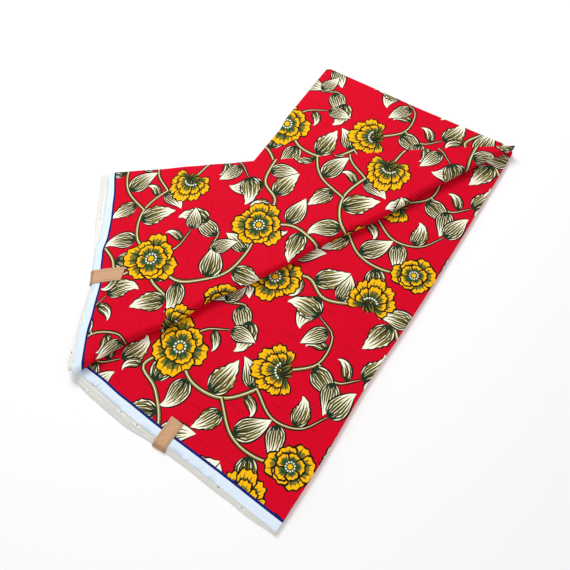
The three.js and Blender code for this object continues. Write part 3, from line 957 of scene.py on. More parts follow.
@dataclass(frozen=True)
class LayersFinish:
    """Red folds seen edge on, with the pale and dark of a print that shows here and there.

    Attributes:
        name: the finish's name.
        roughness: its middle roughness.
    """

    name: str = "folded_edges"
    roughness: float = 0.68

    def material(self) -> bpy.types.Material:
        """Makes the finish.

        Returns:
            The material.
        """
        s = Shader(self.name)
        place = s.node("ShaderNodeTexCoord")
        stretch = s.node("ShaderNodeMapping")
        stretch.inputs["Scale"].default_value = (60.0, 60.0, 900.0)
        s.link(place.outputs["Object"], stretch.inputs["Vector"])
        print_spots = s.node("ShaderNodeTexNoise", in_Scale=1.0, in_Detail=1.5)
        s.link(stretch.outputs["Vector"], print_spots.inputs["Vector"])
        ramp = s.node("ShaderNodeValToRGB")
        ramp.color_ramp.interpolation = "CONSTANT"
        stops = ((0.0, Ink.GROUND), (0.60, Ink.OLIVE), (0.63, Ink.CREAM), (0.67, Ink.YELLOW),
                 (0.70, Ink.GROUND))
        while len(ramp.color_ramp.elements) < len(stops):
            ramp.color_ramp.elements.new(1.0)
        for element, (at, ink) in zip(ramp.color_ramp.elements, stops):
            element.position = at
            element.color = ink.linear
        s.link(print_spots.outputs["Fac"], ramp.inputs["Fac"])
        s.link(ramp.outputs["Color"], s.surface.inputs["Base Color"])
        grain = s.node("ShaderNodeTexNoise", in_Scale=2600.0)
        s.link(place.outputs["Object"], grain.inputs["Vector"])
        bump = s.node("ShaderNodeBump", in_Strength=0.3, in_Distance=0.0002)
        s.link(grain.outputs["Fac"], bump.inputs["Height"])
        s.link(bump.outputs["Normal"], s.surface.inputs["Normal"])
        s.link(s.ranged(grain.outputs["Fac"], self.roughness - 0.06, self.roughness + 0.08),
               s.surface.inputs["Roughness"])
        s.surface.inputs["Specular IOR Level"].default_value = 0.25
        return s.material


@dataclass(frozen=True)
class PaperFinish:
    """Matte tan paper with a dashed line along each long edge, and painted shade on the stretch that
    turns down round the cloth's edge.

    Attributes:
        name: the finish's name.
        base: the paper's colour on a screen.
        line: the colour of the dashes and of the painted shade where the band turns down.
        dashes: how many dashes a line has.
    """

    name: str = "tan_paper"
    base: tuple[float, float, float] = (216, 172, 132)
    line: tuple[float, float, float] = (120, 74, 48)
    dashes: float = 26.0

    def material(self) -> bpy.types.Material:
        """Makes the finish.

        Returns:
            The material.
        """
        s = Shader(self.name)
        flat = s.node("ShaderNodeUVMap", uv_map="OFBake")
        parts = s.node("ShaderNodeSeparateXYZ")
        s.link(flat.outputs["UV"], parts.inputs["Vector"])
        across, down = parts.outputs["X"], parts.outputs["Y"]
        centred = s.math("ABSOLUTE", s.math("SUBTRACT", across, 0.5))
        near = s.math("LESS_THAN", s.math("ABSOLUTE", s.math("SUBTRACT", centred, 0.34)), 0.022)
        dash = s.math("GREATER_THAN", s.math("FRACT", s.math("MULTIPLY", down, self.dashes)), 0.4)
        dark = s.math("MULTIPLY", s.math("MULTIPLY", near, dash), 0.55)
        # Painted shade: the last stretch of the band, where it turns down and under the cloth's edge,
        # is darkened towards the line colour.
        fold = s.math("MULTIPLY", s.math("GREATER_THAN", down, 0.78), 0.28)
        noise = s.node("ShaderNodeTexNoise", in_Scale=9.0, in_Detail=6.0)
        s.link(flat.outputs["UV"], noise.inputs["Vector"])
        mottle = s.math("MULTIPLY", noise.outputs["Fac"], 0.35)
        # Dashes, painted shade and random mottle, mixed towards the line colour.
        dash_shade_and_mottle = s.math("ADD", s.math("ADD", dark, fold), mottle)
        mix = s.node("ShaderNodeMix", data_type="RGBA")
        mix.inputs["A"].default_value = linear(self.base)
        mix.inputs["B"].default_value = linear(self.line)
        s.link(dash_shade_and_mottle, mix.inputs["Factor"])
        s.link(mix.outputs["Result"], s.surface.inputs["Base Color"])
        s.link(s.ranged(noise.outputs["Fac"], 0.6, 0.8), s.surface.inputs["Roughness"])
        bump = s.node("ShaderNodeBump", in_Strength=0.25, in_Distance=0.0002)
        s.link(noise.outputs["Fac"], bump.inputs["Height"])
        s.link(bump.outputs["Normal"], s.surface.inputs["Normal"])
        s.surface.inputs["Specular IOR Level"].default_value = 0.3
        return s.material


def rest_piece(name: str, mesh: bpy.types.Mesh, slot: str, nodes: Sequence[str]) -> bpy.types.Object:
    """Puts a finished mesh in the scene as a piece of the cloth.

    Args:
        name: the piece's name.
        mesh: its mesh, in the shared frame.
        slot: not used.
        nodes: the plain solids that it stands for.

    Returns:
        The piece.
    """
    piece = bpy.data.objects.new(name, mesh)
    bpy.context.scene.collection.objects.link(piece)
    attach(piece, "root")
    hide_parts(*nodes)
    log.info("%s: %d faces", name, len(mesh.polygons))
    return piece


@dataclass
class Cloth:
    """A cloth that is laid out flat, printed, and carried to its folded place.

    Attributes:
        packet: the packet that it belongs to.
        name: the piece's name.
        nodes: the plain solids that it stands for.
        ground: the ink of what nothing is printed on.
        thick: the cloth's thickness.
        spacing: the distance between the points that let it bend.
        mirrored: whether its way to its place turns it over.
        slot: a name that is handed on to rest_piece with the piece.
        rests_on: what it lies on.
        finish: the finish of the cloth.
    """

    packet: Packet
    name: str = "cloth"
    nodes: tuple[str, ...] = ()
    ground: Ink = Ink.GROUND
    thick: float = 0.4
    spacing: float = 8.0
    mirrored: bool = False
    slot: str = "print_face"
    rests_on: tuple[str, ...] = ()
    finish: ClothFinish = ClothFinish()

    def outline(self) -> np.ndarray:
        """Draws the cloth's flat outline."""
        raise NotImplementedError

    def place(self, flat: np.ndarray) -> np.ndarray:
        """Carries flat points to the shared frame."""
        raise NotImplementedError

    def patches(self) -> list[Patch]:
        """Lists the inks on the cloth, the lowest first."""
        return []

    def bends(self) -> np.ndarray:
        """Lists the points that let the cloth bend.

        Returns:
            The flat points.
        """
        low, high = self.outline().min(0), self.outline().max(0)
        x, y = np.meshgrid(np.arange(low[0], high[0], self.spacing),
                           np.arange(low[1], high[1], self.spacing))
        return np.column_stack([x.ravel(), y.ravel()])

    def bend_lines(self) -> list[np.ndarray]:
        """Lists the lines that the cloth turns along."""
        return []

    def laid_out(self) -> tuple[np.ndarray, np.ndarray, np.ndarray, list[Ink]]:
        """Cuts the flat cloth into small faces along its inks.

        Returns:
            The flat points, the faces, the shape that each face lies in and the shapes' inks.
        """
        shapes = [Patch(self.outline(), self.ground), *self.patches()]
        edges: list[tuple[int, int]] = []
        count = 0
        for shape in shapes:
            loop = range(count, count + len(shape.outline))
            edges += zip(loop, [*loop[1:], loop[0]])
            count += len(shape.outline)
        lines = self.bend_lines()
        for line in lines:
            edges += zip(range(count, count + len(line) - 1), range(count + 1, count + len(line)))
            count += len(line)
        points = np.vstack([shape.outline for shape in shapes] + lines + [self.bends()])
        made = delaunay_2d_cdt([Vector(p) for p in points], edges, [], 0, 1e-4, False)
        flat = np.array([tuple(p) for p in made[0]])
        faces = np.array(made[2])
        owner = self.owners(flat[faces].mean(1), shapes)
        return flat, faces[owner >= 0], owner[owner >= 0], [shape.ink for shape in shapes]

    @staticmethod
    def owners(middles: np.ndarray, shapes: Sequence[Patch]) -> np.ndarray:
        """Finds the topmost shape that each face lies in.

        Args:
            middles: the middle of each face.
            shapes: the cloth's outline, then the inks, the lowest first.

        Returns:
            The number of each face's shape, or -1 outside the cloth.
        """
        order = np.argsort(middles[:, 0])
        x = middles[order, 0]
        owner = np.full(len(middles), -1)
        for number, shape in enumerate(shapes):
            low, high = shape.outline.min(0), shape.outline.max(0)
            near = order[np.searchsorted(x, low[0]):np.searchsorted(x, high[0])]
            near = near[(middles[near, 1] > low[1]) & (middles[near, 1] < high[1])]
            if len(near) == 0:
                continue
            a, b = shape.outline, np.roll(shape.outline, -1, axis=0)
            px, py = middles[near, 0][:, None], middles[near, 1][:, None]
            spans = (a[:, 1] > py) != (b[:, 1] > py)
            rise = np.where(b[:, 1] == a[:, 1], 1e-12, b[:, 1] - a[:, 1])
            crossed = spans & (px < a[:, 0] + (b[:, 0] - a[:, 0]) * (py - a[:, 1]) / rise)
            inside = near[crossed.sum(1) % 2 == 1]
            owner[inside if number == 0 else inside[owner[inside] >= 0]] = number
        return owner

    def shell(self, points: np.ndarray,
              faces: np.ndarray) -> tuple[np.ndarray, np.ndarray, np.ndarray]:
        """Gives the cloth its thickness.

        Args:
            points: its points in the shared frame.
            faces: its faces, seen from its printed side.

        Returns:
            The points of the cloth, its faces with its edge all round, and the printed face
            that each of them belongs to.
        """
        a, b, c = (points[faces[:, k]] for k in range(3))
        normal = np.cross(b - a, c - a)
        normals = np.zeros_like(points)
        for k in range(3):
            np.add.at(normals, faces[:, k], normal)
        size = np.linalg.norm(normals, axis=1)
        normals /= np.maximum(size, 1e-20)[:, None]
        back = points - normals * self.thick * MM
        sides = np.vstack([faces[:, [0, 1]], faces[:, [1, 2]], faces[:, [2, 0]]])
        seen = {(int(i), int(j)): k % len(faces) for k, (i, j) in enumerate(sides)}
        found = [(i, j, k) for (i, j), k in seen.items() if (j, i) not in seen]
        rim, shift = np.array(found), len(points)
        edge = np.vstack([np.column_stack([rim[:, 1], rim[:, 0], rim[:, 0] + shift]),
                          np.column_stack([rim[:, 1], rim[:, 0] + shift, rim[:, 1] + shift])])
        face = np.concatenate([np.arange(len(faces)), rim[:, 2], rim[:, 2]])
        return np.vstack([points, back]), np.vstack([faces, edge]), face

    def build(self, flat_size: tuple[float, float], area: float | None = None) -> bpy.types.Object:
        """Args:
            flat_size: the width and length that its stretch of cloth was cut to, in metres; not used.
            area: the flat area of that stretch in square metres, if it isn't a rectangle; not used.

        Returns:
            The piece.
        """
        flat, faces, owner, inks = self.laid_out()
        used, index = np.unique(faces, return_inverse=True)
        flat, faces = flat[used], index.reshape(-1, 3)
        if self.mirrored:
            faces = faces[:, ::-1]
        points, walled, face = self.shell(self.place(flat), faces)
        mesh = bpy.data.meshes.new(self.name)
        mesh.from_pydata(points.tolist(), [], walled.tolist())
        low, high = flat.min(0), flat.max(0)
        uv = (UV_START + UV_SPAN * (flat - low) / (high - low))[walled % len(flat)]
        layer = mesh.uv_layers.new(name="OFBake")
        layer.data.foreach_set("uv", uv.ravel())
        colours = np.repeat(np.array([ink.linear for ink in inks])[owner[face]], 3, axis=0)
        ink_layer = mesh.color_attributes.new("Ink", "FLOAT_COLOR", "CORNER")
        ink_layer.data.foreach_set("color", colours.ravel())
        mesh.materials.append(self.finish.material(tuple((high - low) / UV_SPAN)))
        mesh.polygons.foreach_set("use_smooth", np.arange(len(walled)) < len(faces))
        mesh.validate()
        piece = rest_piece(self.name, mesh, self.slot, self.nodes)
        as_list(self.rests_on)
        return piece


def spread(start: float, end: float, step: float) -> np.ndarray:
    """Places from one value to another, about a step apart."""
    return np.linspace(start, end, max(2, round(abs(end - start) / step) + 1))


@dataclass(frozen=True)
class TurnedEdge:
    """The rounded nose of a cloth that is turned down at a folded edge.

    Attributes:
        low: the least x and y of the box that the noses reach.
        high: the greatest x and y of that box.
        radius: how round its corners are.
        depth: how far the nose stands out from the face.
        height: how tall the nose is.
        turn: how far it turns, in degrees.
        line_gap: the distance between the lines that it turns along.
    """

    low: tuple[float, float]
    high: tuple[float, float]
    radius: float = 5.0
    depth: float = 1.1
    height: float = 1.8
    turn: float = 158.0
    line_gap: float = 0.42

    @property
    def run(self) -> float:
        """The cloth that one turn round the nose takes for each radian."""
        return (self.depth + self.height / 2) / 2

    @property
    def beyond(self) -> float:
        """How far the flat cloth reaches past the box."""
        return self.run * math.radians(self.turn) - self.depth

    @property
    def steps(self) -> list[float]:
        """How far in from the flat edge each line of the turn lies."""
        return [self.line_gap * k for k in range(1, 8)]

    def carry(self, flat: np.ndarray) -> tuple[np.ndarray, np.ndarray]:
        """Turns flat points down over the edges.

        Args:
            flat: the flat points.

        Returns:
            Their plan points and how far each lies below the face.
        """
        inner = np.clip(flat, np.array(self.low) + self.radius, np.array(self.high) - self.radius)
        way = flat - inner
        far = np.linalg.norm(way, axis=1)
        radius = self.radius - self.depth
        turn = np.clip((far - radius) / self.run, 0, None)
        reach = np.where(turn > 0, radius + self.depth * np.sin(turn), far)
        plan = inner + way * (reach / np.maximum(far, 1e-9))[:, None]
        return plan, self.height / 2 * (1 - np.cos(turn))

    def corner(self, x: float, y: float, start: float, inward: float = 0.0) -> np.ndarray:
        """Draws a rounded corner of the flat outline.

        Args:
            x: -1 or 1, for the left or right corner.
            y: -1 or 1, for the near or far corner.
            start: the angle that it starts from, in degrees.
            inward: how far inside the outline it is drawn.

        Returns:
            Its points, round to the left.
        """
        centre = np.array([self.high[0] - self.radius if x > 0 else self.low[0] + self.radius,
                           self.high[1] - self.radius if y > 0 else self.low[1] + self.radius])
        a = np.radians(start + np.linspace(0, 90, 7))
        radius = self.radius + self.beyond - inward
        return centre + radius * np.column_stack([np.cos(a), np.sin(a)])


@dataclass
class LowerCloth(Cloth):
    """The top panel of the lower half, seen from the fold to its right edge.

    Attributes:
        origin: where the print's repeat starts.
        creases: its soft troughs and ridges.
    """

    origin: tuple[float, float] = (30.0, 40.0)
    creases: tuple[Crease, ...] = (
        Crease((150, 20), (210, 330), -0.35, 12), Crease((232, 150), (286, 420), 0.4, 14),
        Crease((60, 30), (250, 60), 0.3, 10), Crease((250, 10), (290, 190), -0.3, 9),
        Crease((180, 300), (290, 520), -0.4, 13), Crease((90, 120), (180, 180), 0.35, 16))

    @property
    def edge(self) -> TurnedEdge:
        """The turned-down edges."""
        return TurnedEdge((0.0, -1000.0), (self.packet.width, self.packet.length))

    def outline(self) -> np.ndarray:
        """Draws the cloth's flat outline.

        Returns:
            Its points, round to the left.
        """
        p, out = self.packet, self.edge.beyond
        x = spread(-out, p.width + out, 6)
        near = np.column_stack([x, -p.near_edge.out(x)])
        return np.vstack([near, self.turned_line(0.0, 7.0)])

    def turned_line(self, inward: float, start: float) -> np.ndarray:
        """Draws a line along the edges that turn down.

        Args:
            inward: how far it lies in from the flat edge.
            start: how far up the sides it starts and ends.

        Returns:
            Its points, round to the left.
        """
        p, edge = self.packet, self.edge
        out = edge.beyond - inward
        y = spread(start, p.length - edge.radius, 7)[:-1]
        right = np.column_stack([np.full(len(y), p.width + out), y])
        x = spread(p.width - edge.radius, edge.radius, 7)[1:-1]
        far = np.column_stack([x, np.full(len(x), p.length + out)])
        left = np.column_stack([np.full(len(y), -out), y[::-1]])
        return np.vstack([right, edge.corner(1, 1, 0, inward), far,
                          edge.corner(-1, 1, 90, inward), left])

    def bend_lines(self) -> list[np.ndarray]:
        """Lists the lines that the cloth turns along."""
        return [self.turned_line(inward, -8.0) for inward in self.edge.steps]

    def place(self, flat: np.ndarray) -> np.ndarray:
        """Carries flat points to the shared frame.

        Args:
            flat: the flat points.

        Returns:
            The points in metres.
        """
        p = self.packet
        plan, drop = self.edge.carry(flat)
        x, y = plan[:, 0], plan[:, 1]
        plan = plan + np.column_stack([p.right_edge.out(y) * smooth(x / p.width),
                                       p.far_edge.out(x) * smooth(y / p.length - 0.2)])
        lift = sum(crease.lift(plan) for crease in self.creases)
        rim = smooth((p.width - x) / 12) * smooth(y / 12)
        return p.to_frame(plan, p.stack - drop + lift * rim)

    def shown(self, flat: np.ndarray) -> np.ndarray:
        """Says which flat points the flap doesn't hide.

        Args:
            flat: the flat points.

        Returns:
            Whether each point shows.
        """
        p = self.packet
        side = flat @ p.across
        return (side < 16) & (flat[:, 0] > -3) & (flat[:, 0] < p.width + 3) & (
            flat[:, 1] > 6) & (flat[:, 1] < p.length + 3)

    def patches(self) -> list[Patch]:
        """Lists the inks on the cloth, the lowest first.

        Returns:
            The flat shapes.
        """
        p = self.packet
        x = spread(-3, p.width + 3, 6)
        edge = -p.near_edge.out(x)
        return crackle(p, self.shown) + Repeat().patches(self.origin, self.shown) + (
            selvedge_stripes(x, edge))


def selvedge_stripes(x: np.ndarray, edge: np.ndarray, wide: float = 11.0,
                     line: float = 3.0) -> list[Patch]:
    """Draws the unprinted selvedge and the navy line beside it.

    Args:
        x: places along the selvedge.
        edge: the cut edge at each place.
        wide: the width of the bare strip.
        line: the width of the navy line.

    Returns:
        The two patches.
    """
    def strip(start: float, end: float) -> np.ndarray:
        """Draws a strip beside the edge.

        Args:
            start: how far in it starts.
            end: how far in it ends.

        Returns:
            Its outline.
        """
        low, high = np.column_stack([x, edge + start]), np.column_stack([x, edge + end])
        return np.vstack([low, high[::-1]])

    return [Patch(strip(wide, wide + line), Ink.NAVY), Patch(strip(-2.0, wide), Ink.SELVEDGE)]


def crackle(packet: Packet, shown: Callable[[np.ndarray], np.ndarray]) -> list[Patch]:
    """Draws the thin broken lines that the wax leaves, side by side along the selvedge.

    Args:
        packet: not used.
        shown: says of flat points whether they show.

    Returns:
        The patches.
    """
    found = []
    for row in range(1, 22):
        for part in range(8):
            start = part * 42.0 + 17.0 * ((row * 5 + part * 3) % 4) / 4
            long = 14.0 + 5.0 * ((row * 3 + part * 7) % 5)
            y = row * 27.0 + 1.2 * math.sin(row * 2.1 + part)
            line = np.array([[start, y], [start + long / 2, y + 0.5], [start + long, y - 0.2]])
            if shown(line).all():
                found.append(Patch(ribbon(line, np.array([0.1, 0.28, 0.1])), Ink.CRACKLE))
    return found


@dataclass
class UpperCloth(Cloth):
    """The top panel of the upper half, seen beyond the flap.

    Attributes:
        origin: where the print's repeat starts.
        creases: its soft troughs and ridges.
    """

    origin: tuple[float, float] = (-52.0, 118.0)
    creases: tuple[Crease, ...] = (
        Crease((20, 400), (200, 560), 0.4, 14), Crease((10, 520), (150, 470), -0.35, 12))

    @property
    def edge(self) -> TurnedEdge:
        """The turned-down edges."""
        return TurnedEdge((0.0, -1000.0), (1000.0, self.packet.length))

    def outline(self) -> np.ndarray:
        """Draws the cloth's flat outline.

        Returns:
            Its points, round to the left.
        """
        p = self.packet
        d = spread(60, p.diagonal - 24, 8)
        fold = d[:, None] * p.along + (p.roll(d) + 2.0)[:, None] * p.across
        return np.vstack([fold, self.turned_line(0.0, fold[-1, 0], fold[0, 1])])

    def turned_line(self, inward: float, right: float, low: float) -> np.ndarray:
        """Draws a line along the edges that turn down.

        Args:
            inward: how far it lies in from the flat edge.
            right: where it starts along the far edge.
            low: where it ends down the left edge.

        Returns:
            Its points, round to the left.
        """
        p, edge = self.packet, self.edge
        out = edge.beyond - inward
        x = spread(right, edge.radius, 7)[:-1]
        far = np.column_stack([x, np.full(len(x), p.length + out)])
        y = spread(p.length - edge.radius, low, 7)[1:]
        left = np.column_stack([np.full(len(y), -out), y])
        return np.vstack([far, edge.corner(-1, 1, 90, inward), left])

    def bend_lines(self) -> list[np.ndarray]:
        """Lists the lines that the cloth turns along."""
        return [self.turned_line(inward, self.packet.width, 40.0) for inward in self.edge.steps]

    def place(self, flat: np.ndarray) -> np.ndarray:
        """Carries flat points to the shared frame.

        Args:
            flat: the flat points.

        Returns:
            The points in metres.
        """
        p = self.packet
        plan, drop = self.edge.carry(flat)
        x, y = plan[:, 0], plan[:, 1]
        side = -p.left_edge.out(y) * smooth(y / 120) * smooth(1 - x / p.width)
        plan = plan + np.column_stack([side, p.far_edge.out(x) * smooth(y / p.length - 0.2)])
        lift = sum(crease.lift(plan) for crease in self.creases)
        beyond_flap = smooth((self.past_flap(flat) - 4) / 25) * smooth((p.length - y) / 12)
        height = p.levels[1] + p.stack - drop + lift * beyond_flap * smooth(x / 12)
        return p.to_frame(plan, height)

    def past_flap(self, flat: np.ndarray) -> np.ndarray:
        """How far flat points lie past the flap's long edge.

        Args:
            flat: the flat points.

        Returns:
            The distance of each, negative under the flap.
        """
        p = self.packet
        far = p.turn_over(np.array([[p.width, 0.0]]))[0]
        end = np.array([p.width, p.length])
        run = (end - far) / np.linalg.norm(end - far)
        return (flat - far) @ np.array([-run[1], run[0]])

    def shown(self, flat: np.ndarray) -> np.ndarray:
        """Says which flat points the flap doesn't hide.

        Args:
            flat: the flat points.

        Returns:
            Whether each point shows.
        """
        p = self.packet
        return (self.past_flap(flat) > -14) & (flat[:, 0] > -3) & (flat[:, 0] < p.width) & (
            flat[:, 1] < p.length + 3)

    def patches(self) -> list[Patch]:
        """Lists the inks on the cloth, the lowest first."""
        return crackle(self.packet, self.shown) + Repeat().patches(self.origin, self.shown)


@dataclass
class FlapCloth(Cloth):
    """The cloth that rolls over the corner to corner fold and lies on top.

    Attributes:
        mirrored: whether its way to its place turns it over.
        origin: where the print's repeat starts.
        roll_end: how far round the roll it goes, in degrees.
        creases: its soft troughs and ridges.
    """

    mirrored: bool = True
    origin: tuple[float, float] = (96.0, 22.0)
    roll_end: float = 262.0
    creases: tuple[Crease, ...] = (
        Crease((20, 110), (170, 420), -0.5, 14), Crease((-40, 130), (60, 330), 0.6, 18),
        Crease((-20, 60), (40, 180), -0.6, 11), Crease((-120, 170), (-20, 300), 0.5, 16),
        Crease((110, 320), (240, 520), 0.45, 11), Crease((-130, 210), (-60, 130), -0.5, 12))

    def half_turn(self, distance: np.ndarray) -> np.ndarray:
        """The cloth that half a turn round the roll takes.

        Args:
            distance: how far along the fold.

        Returns:
            The length of cloth.
        """
        p = self.packet
        a, b = p.roll(distance), (p.levels[2] + p.stack - p.levels[1]) / 2
        return math.pi * (3 * (a + b) - np.sqrt((3 * a + b) * (a + 3 * b))) / 2

    def at_fold(self, flat: np.ndarray) -> tuple[np.ndarray, np.ndarray]:
        """Finds flat points by their place at the fold.

        Args:
            flat: the flat points.

        Returns:
            How far along the fold each lies, and how far over it.
        """
        p = self.packet
        return flat @ p.along, -(flat @ p.across)

    @property
    def edge(self) -> TurnedEdge:
        """The turned-down long edge."""
        return TurnedEdge((-1000.0, -1000.0), (self.packet.width, 2000.0))

    def outline(self) -> np.ndarray:
        """Draws the cloth's flat outline.

        Returns:
            Its points, round to the left.
        """
        p = self.packet
        last = p.length - 3.0
        d = spread(p.diagonal - 4.5, 8, 6)
        turn = self.half_turn(d) * (self.roll_end - 90) / 180
        fold = d[:, None] * p.along + (turn - p.roll(d))[:, None] * p.across
        x = spread(fold[-1, 0], p.width + self.edge.beyond, 6)
        cut = np.column_stack([x, -p.flap_selvedge.out(x)])
        y = spread(0, last, 7)
        long = np.column_stack([np.full(len(y), p.width + self.edge.beyond), y])[1:]
        return np.vstack([fold[:-1], cut, long])

    def plan(self, flat: np.ndarray) -> np.ndarray:
        """Carries flat points of the flap's face to the plan.

        Args:
            flat: the flat points.

        Returns:
            The plan points.
        """
        p = self.packet
        distance, over = self.at_fold(flat)
        depth = p.roll(distance)
        edge = np.maximum(p.width * (p.length - flat[:, 1]) / p.diagonal, depth + 1)
        share = np.clip((over - depth) / (edge - depth), 0, 1)
        way = p.turn_over(np.array([[1.0, 0.0]]))[0]
        wave = -p.fold_wave.out(distance) * (1 - share)
        long = p.flap_long_edge.out(flat[:, 1]) * share
        return p.turn_over(flat) + wave[:, None] * p.across + long[:, None] * way

    def face(self, plan: np.ndarray) -> np.ndarray:
        """The height of the flap's face over the plan."""
        p = self.packet
        return p.levels[2] + p.stack + p.puff(plan) - p.sink(plan[:, 0])

    def place(self, flat: np.ndarray) -> np.ndarray:
        """Carries flat points to the shared frame.

        Args:
            flat: the flat points.

        Returns:
            The points in metres.
        """
        p = self.packet
        carried, drop = self.edge.carry(flat)
        distance, over = self.at_fold(carried)
        depth = p.roll(distance)
        plan = self.plan(carried)
        crest = p.behind_fold(distance, depth)
        lift = sum(crease.lift(plan) for crease in self.creases)
        calm = smooth((over - depth) / 14) * smooth((p.width - carried[:, 0]) / 12) * smooth(
            carried[:, 1] / 12)
        high = self.face(plan) - drop + lift * calm
        turn = np.radians(90 + 180 * np.clip(depth - over, 0, None) / self.half_turn(distance))
        top, low = self.face(crest), p.levels[1] + 0.05
        rolled = p.behind_fold(distance, depth * (1 + np.cos(turn)))
        round_high = (top + low) / 2 + (top - low) / 2 * np.sin(turn)
        on_roll = over < depth
        plan = np.where(on_roll[:, None], rolled, plan)
        return p.to_frame(plan, np.where(on_roll, round_high, high))

    def bend_lines(self) -> list[np.ndarray]:
        """Lists the lines that the long edge turns along.

        Returns:
            The points of each line.
        """
        y = spread(-8, self.packet.length, 7)
        out = self.packet.width + self.edge.beyond
        return [np.column_stack([np.full(len(y), out - inward), y]) for inward in self.edge.steps]

    def bends(self) -> np.ndarray:
        """Lists the points that let the cloth bend, closer round the roll.

        Returns:
            The flat points.
        """
        p = self.packet
        rows = [super().bends()]
        d = spread(6, p.diagonal - 5, 6)
        for share in np.linspace(0, 1, 17):
            back = self.half_turn(d) * (self.roll_end - 90) / 180 * share
            rows.append(d[:, None] * p.along + (back - p.roll(d))[:, None] * p.across)
        points = np.vstack(rows)
        return points[points[:, 1] > -p.flap_selvedge.out(points[:, 0]) + 0.6]

    def shown(self, flat: np.ndarray) -> np.ndarray:
        """Says which flat points show.

        Args:
            flat: the flat points.

        Returns:
            Whether each point shows.
        """
        p = self.packet
        _, over = self.at_fold(flat)
        return (over > -20) & (flat[:, 0] < p.width + 3) & (flat[:, 1] > 6) & (
            flat[:, 1] < p.length)

    def patches(self) -> list[Patch]:
        """Lists the inks on the cloth, the lowest first.

        Returns:
            The flat shapes.
        """
        p = self.packet
        x = spread(-20, p.width + 3, 6)
        edge = -p.flap_selvedge.out(x)
        return crackle(p, self.shown) + Repeat().patches(self.origin, self.shown) + (
            selvedge_stripes(x, edge))


LEAF_STEPS = (0.14, 0.40, 0.46, 0.54, 0.76, 0.82, 0.88, 0.95, 1.0)


@dataclass
class SelvedgeLeaf(Cloth):
    """One of the open selvedges that show as steps at the end of a stack.

    Attributes:
        number: its place from the top.
        on_flap: whether it lies in the flap or in the lower half.
        ground: the ink of the bare selvedge.
        thick: its thickness.
        slot: a name that is handed on to rest_piece with the piece.
        spacing: the distance between the points that let it bend.
    """

    number: int = 0
    on_flap: bool = False
    ground: Ink = Ink.LINEN
    thick: float = 0.34
    slot: str = "selvedge"
    spacing: float = 9.0

    @property
    def top(self) -> float:
        """How high its face lies in its stack."""
        return self.packet.hidden - self.number * self.packet.hidden / len(LEAF_STEPS)

    def cut(self, x: np.ndarray) -> np.ndarray:
        """The cut edge.

        Args:
            x: places along it.

        Returns:
            How far it stands out at each place.
        """
        p = self.packet
        edge = (p.flap_selvedge if self.on_flap else p.near_edge).out(x)
        last = (p.flap_leaves if self.on_flap else p.near_leaves).out(x)
        ripple = 0.5 * np.sin(x / 31 + self.number * 1.9) + 0.3 * np.sin(x / 13 + self.number * 4.1)
        return edge + LEAF_STEPS[self.number] * (last - edge) + ripple * smooth(self.number / 2)

    def outline(self) -> np.ndarray:
        """Draws the leaf's flat outline.

        Returns:
            Its points, round to the left.
        """
        p = self.packet
        inset = 0.5 + 0.5 * (self.number % 3)
        x = spread(2.0 if not self.on_flap else 4.5, p.width - inset, 5)
        near = np.column_stack([x, -self.cut(x)])
        start = p.leaf_depth * p.width / p.length + 6.0 if self.on_flap else 2.0
        x = spread(p.width - inset, start, 6)
        return np.vstack([near, np.column_stack([x, np.full(len(x), p.leaf_depth)])])

    def place(self, flat: np.ndarray) -> np.ndarray:
        """Carries flat points to the shared frame.

        Args:
            flat: the flat points.

        Returns:
            The points in metres.
        """
        p = self.packet
        out = np.clip(-flat[:, 1] / 12, 0, 1)
        sag = 0.10 * out * (1 + np.sin(flat[:, 0] / 23 + self.number))
        room = self.number / (len(LEAF_STEPS) - 1)
        under = 0.5 * smooth((flat[:, 1] - 4) / 8)
        high = self.top - (sag + under) * (1 - room)
        if not self.on_flap:
            return p.to_frame(flat, high)
        plan = FlapCloth(p).plan(flat)
        swell = p.puff(plan) * self.top / p.hidden
        return p.to_frame(plan, p.levels[2] + high + swell - p.sink(plan[:, 0]))

    def patches(self) -> list[Patch]:
        """Lists the small navy marks near the cut edge.

        Returns:
            The flat shapes.
        """
        p = self.packet
        found = []
        for k in range(5):
            x = 26 + 61 * k + 17 * ((self.number * 3 + k * 2) % 4)
            y = float(-self.cut(np.array([x]))[0]) + 1.6 + 0.7 * (k % 3)
            if x < p.width - 12:
                lean = 0.9 if (k + self.number) % 2 else -0.5
                line = np.array([[x, y], [x + 1.6, y + lean], [x + 3.4, y + lean * 1.3]])
                found.append(Patch(ribbon(line, np.array([0.3, 0.45, 0.25])), Ink.NAVY))
        x = spread(0, p.width + 2, 6)
        y = -self.cut(x) + 13.5
        stripe = np.vstack([np.column_stack([x, y]), np.column_stack([x, y + 3])[::-1]])
        red = np.vstack([np.column_stack([x, y + 3]), np.column_stack([x, y + 60])[::-1]])
        return found + [Patch(stripe, Ink.NAVY), Patch(red, Ink.GROUND)]


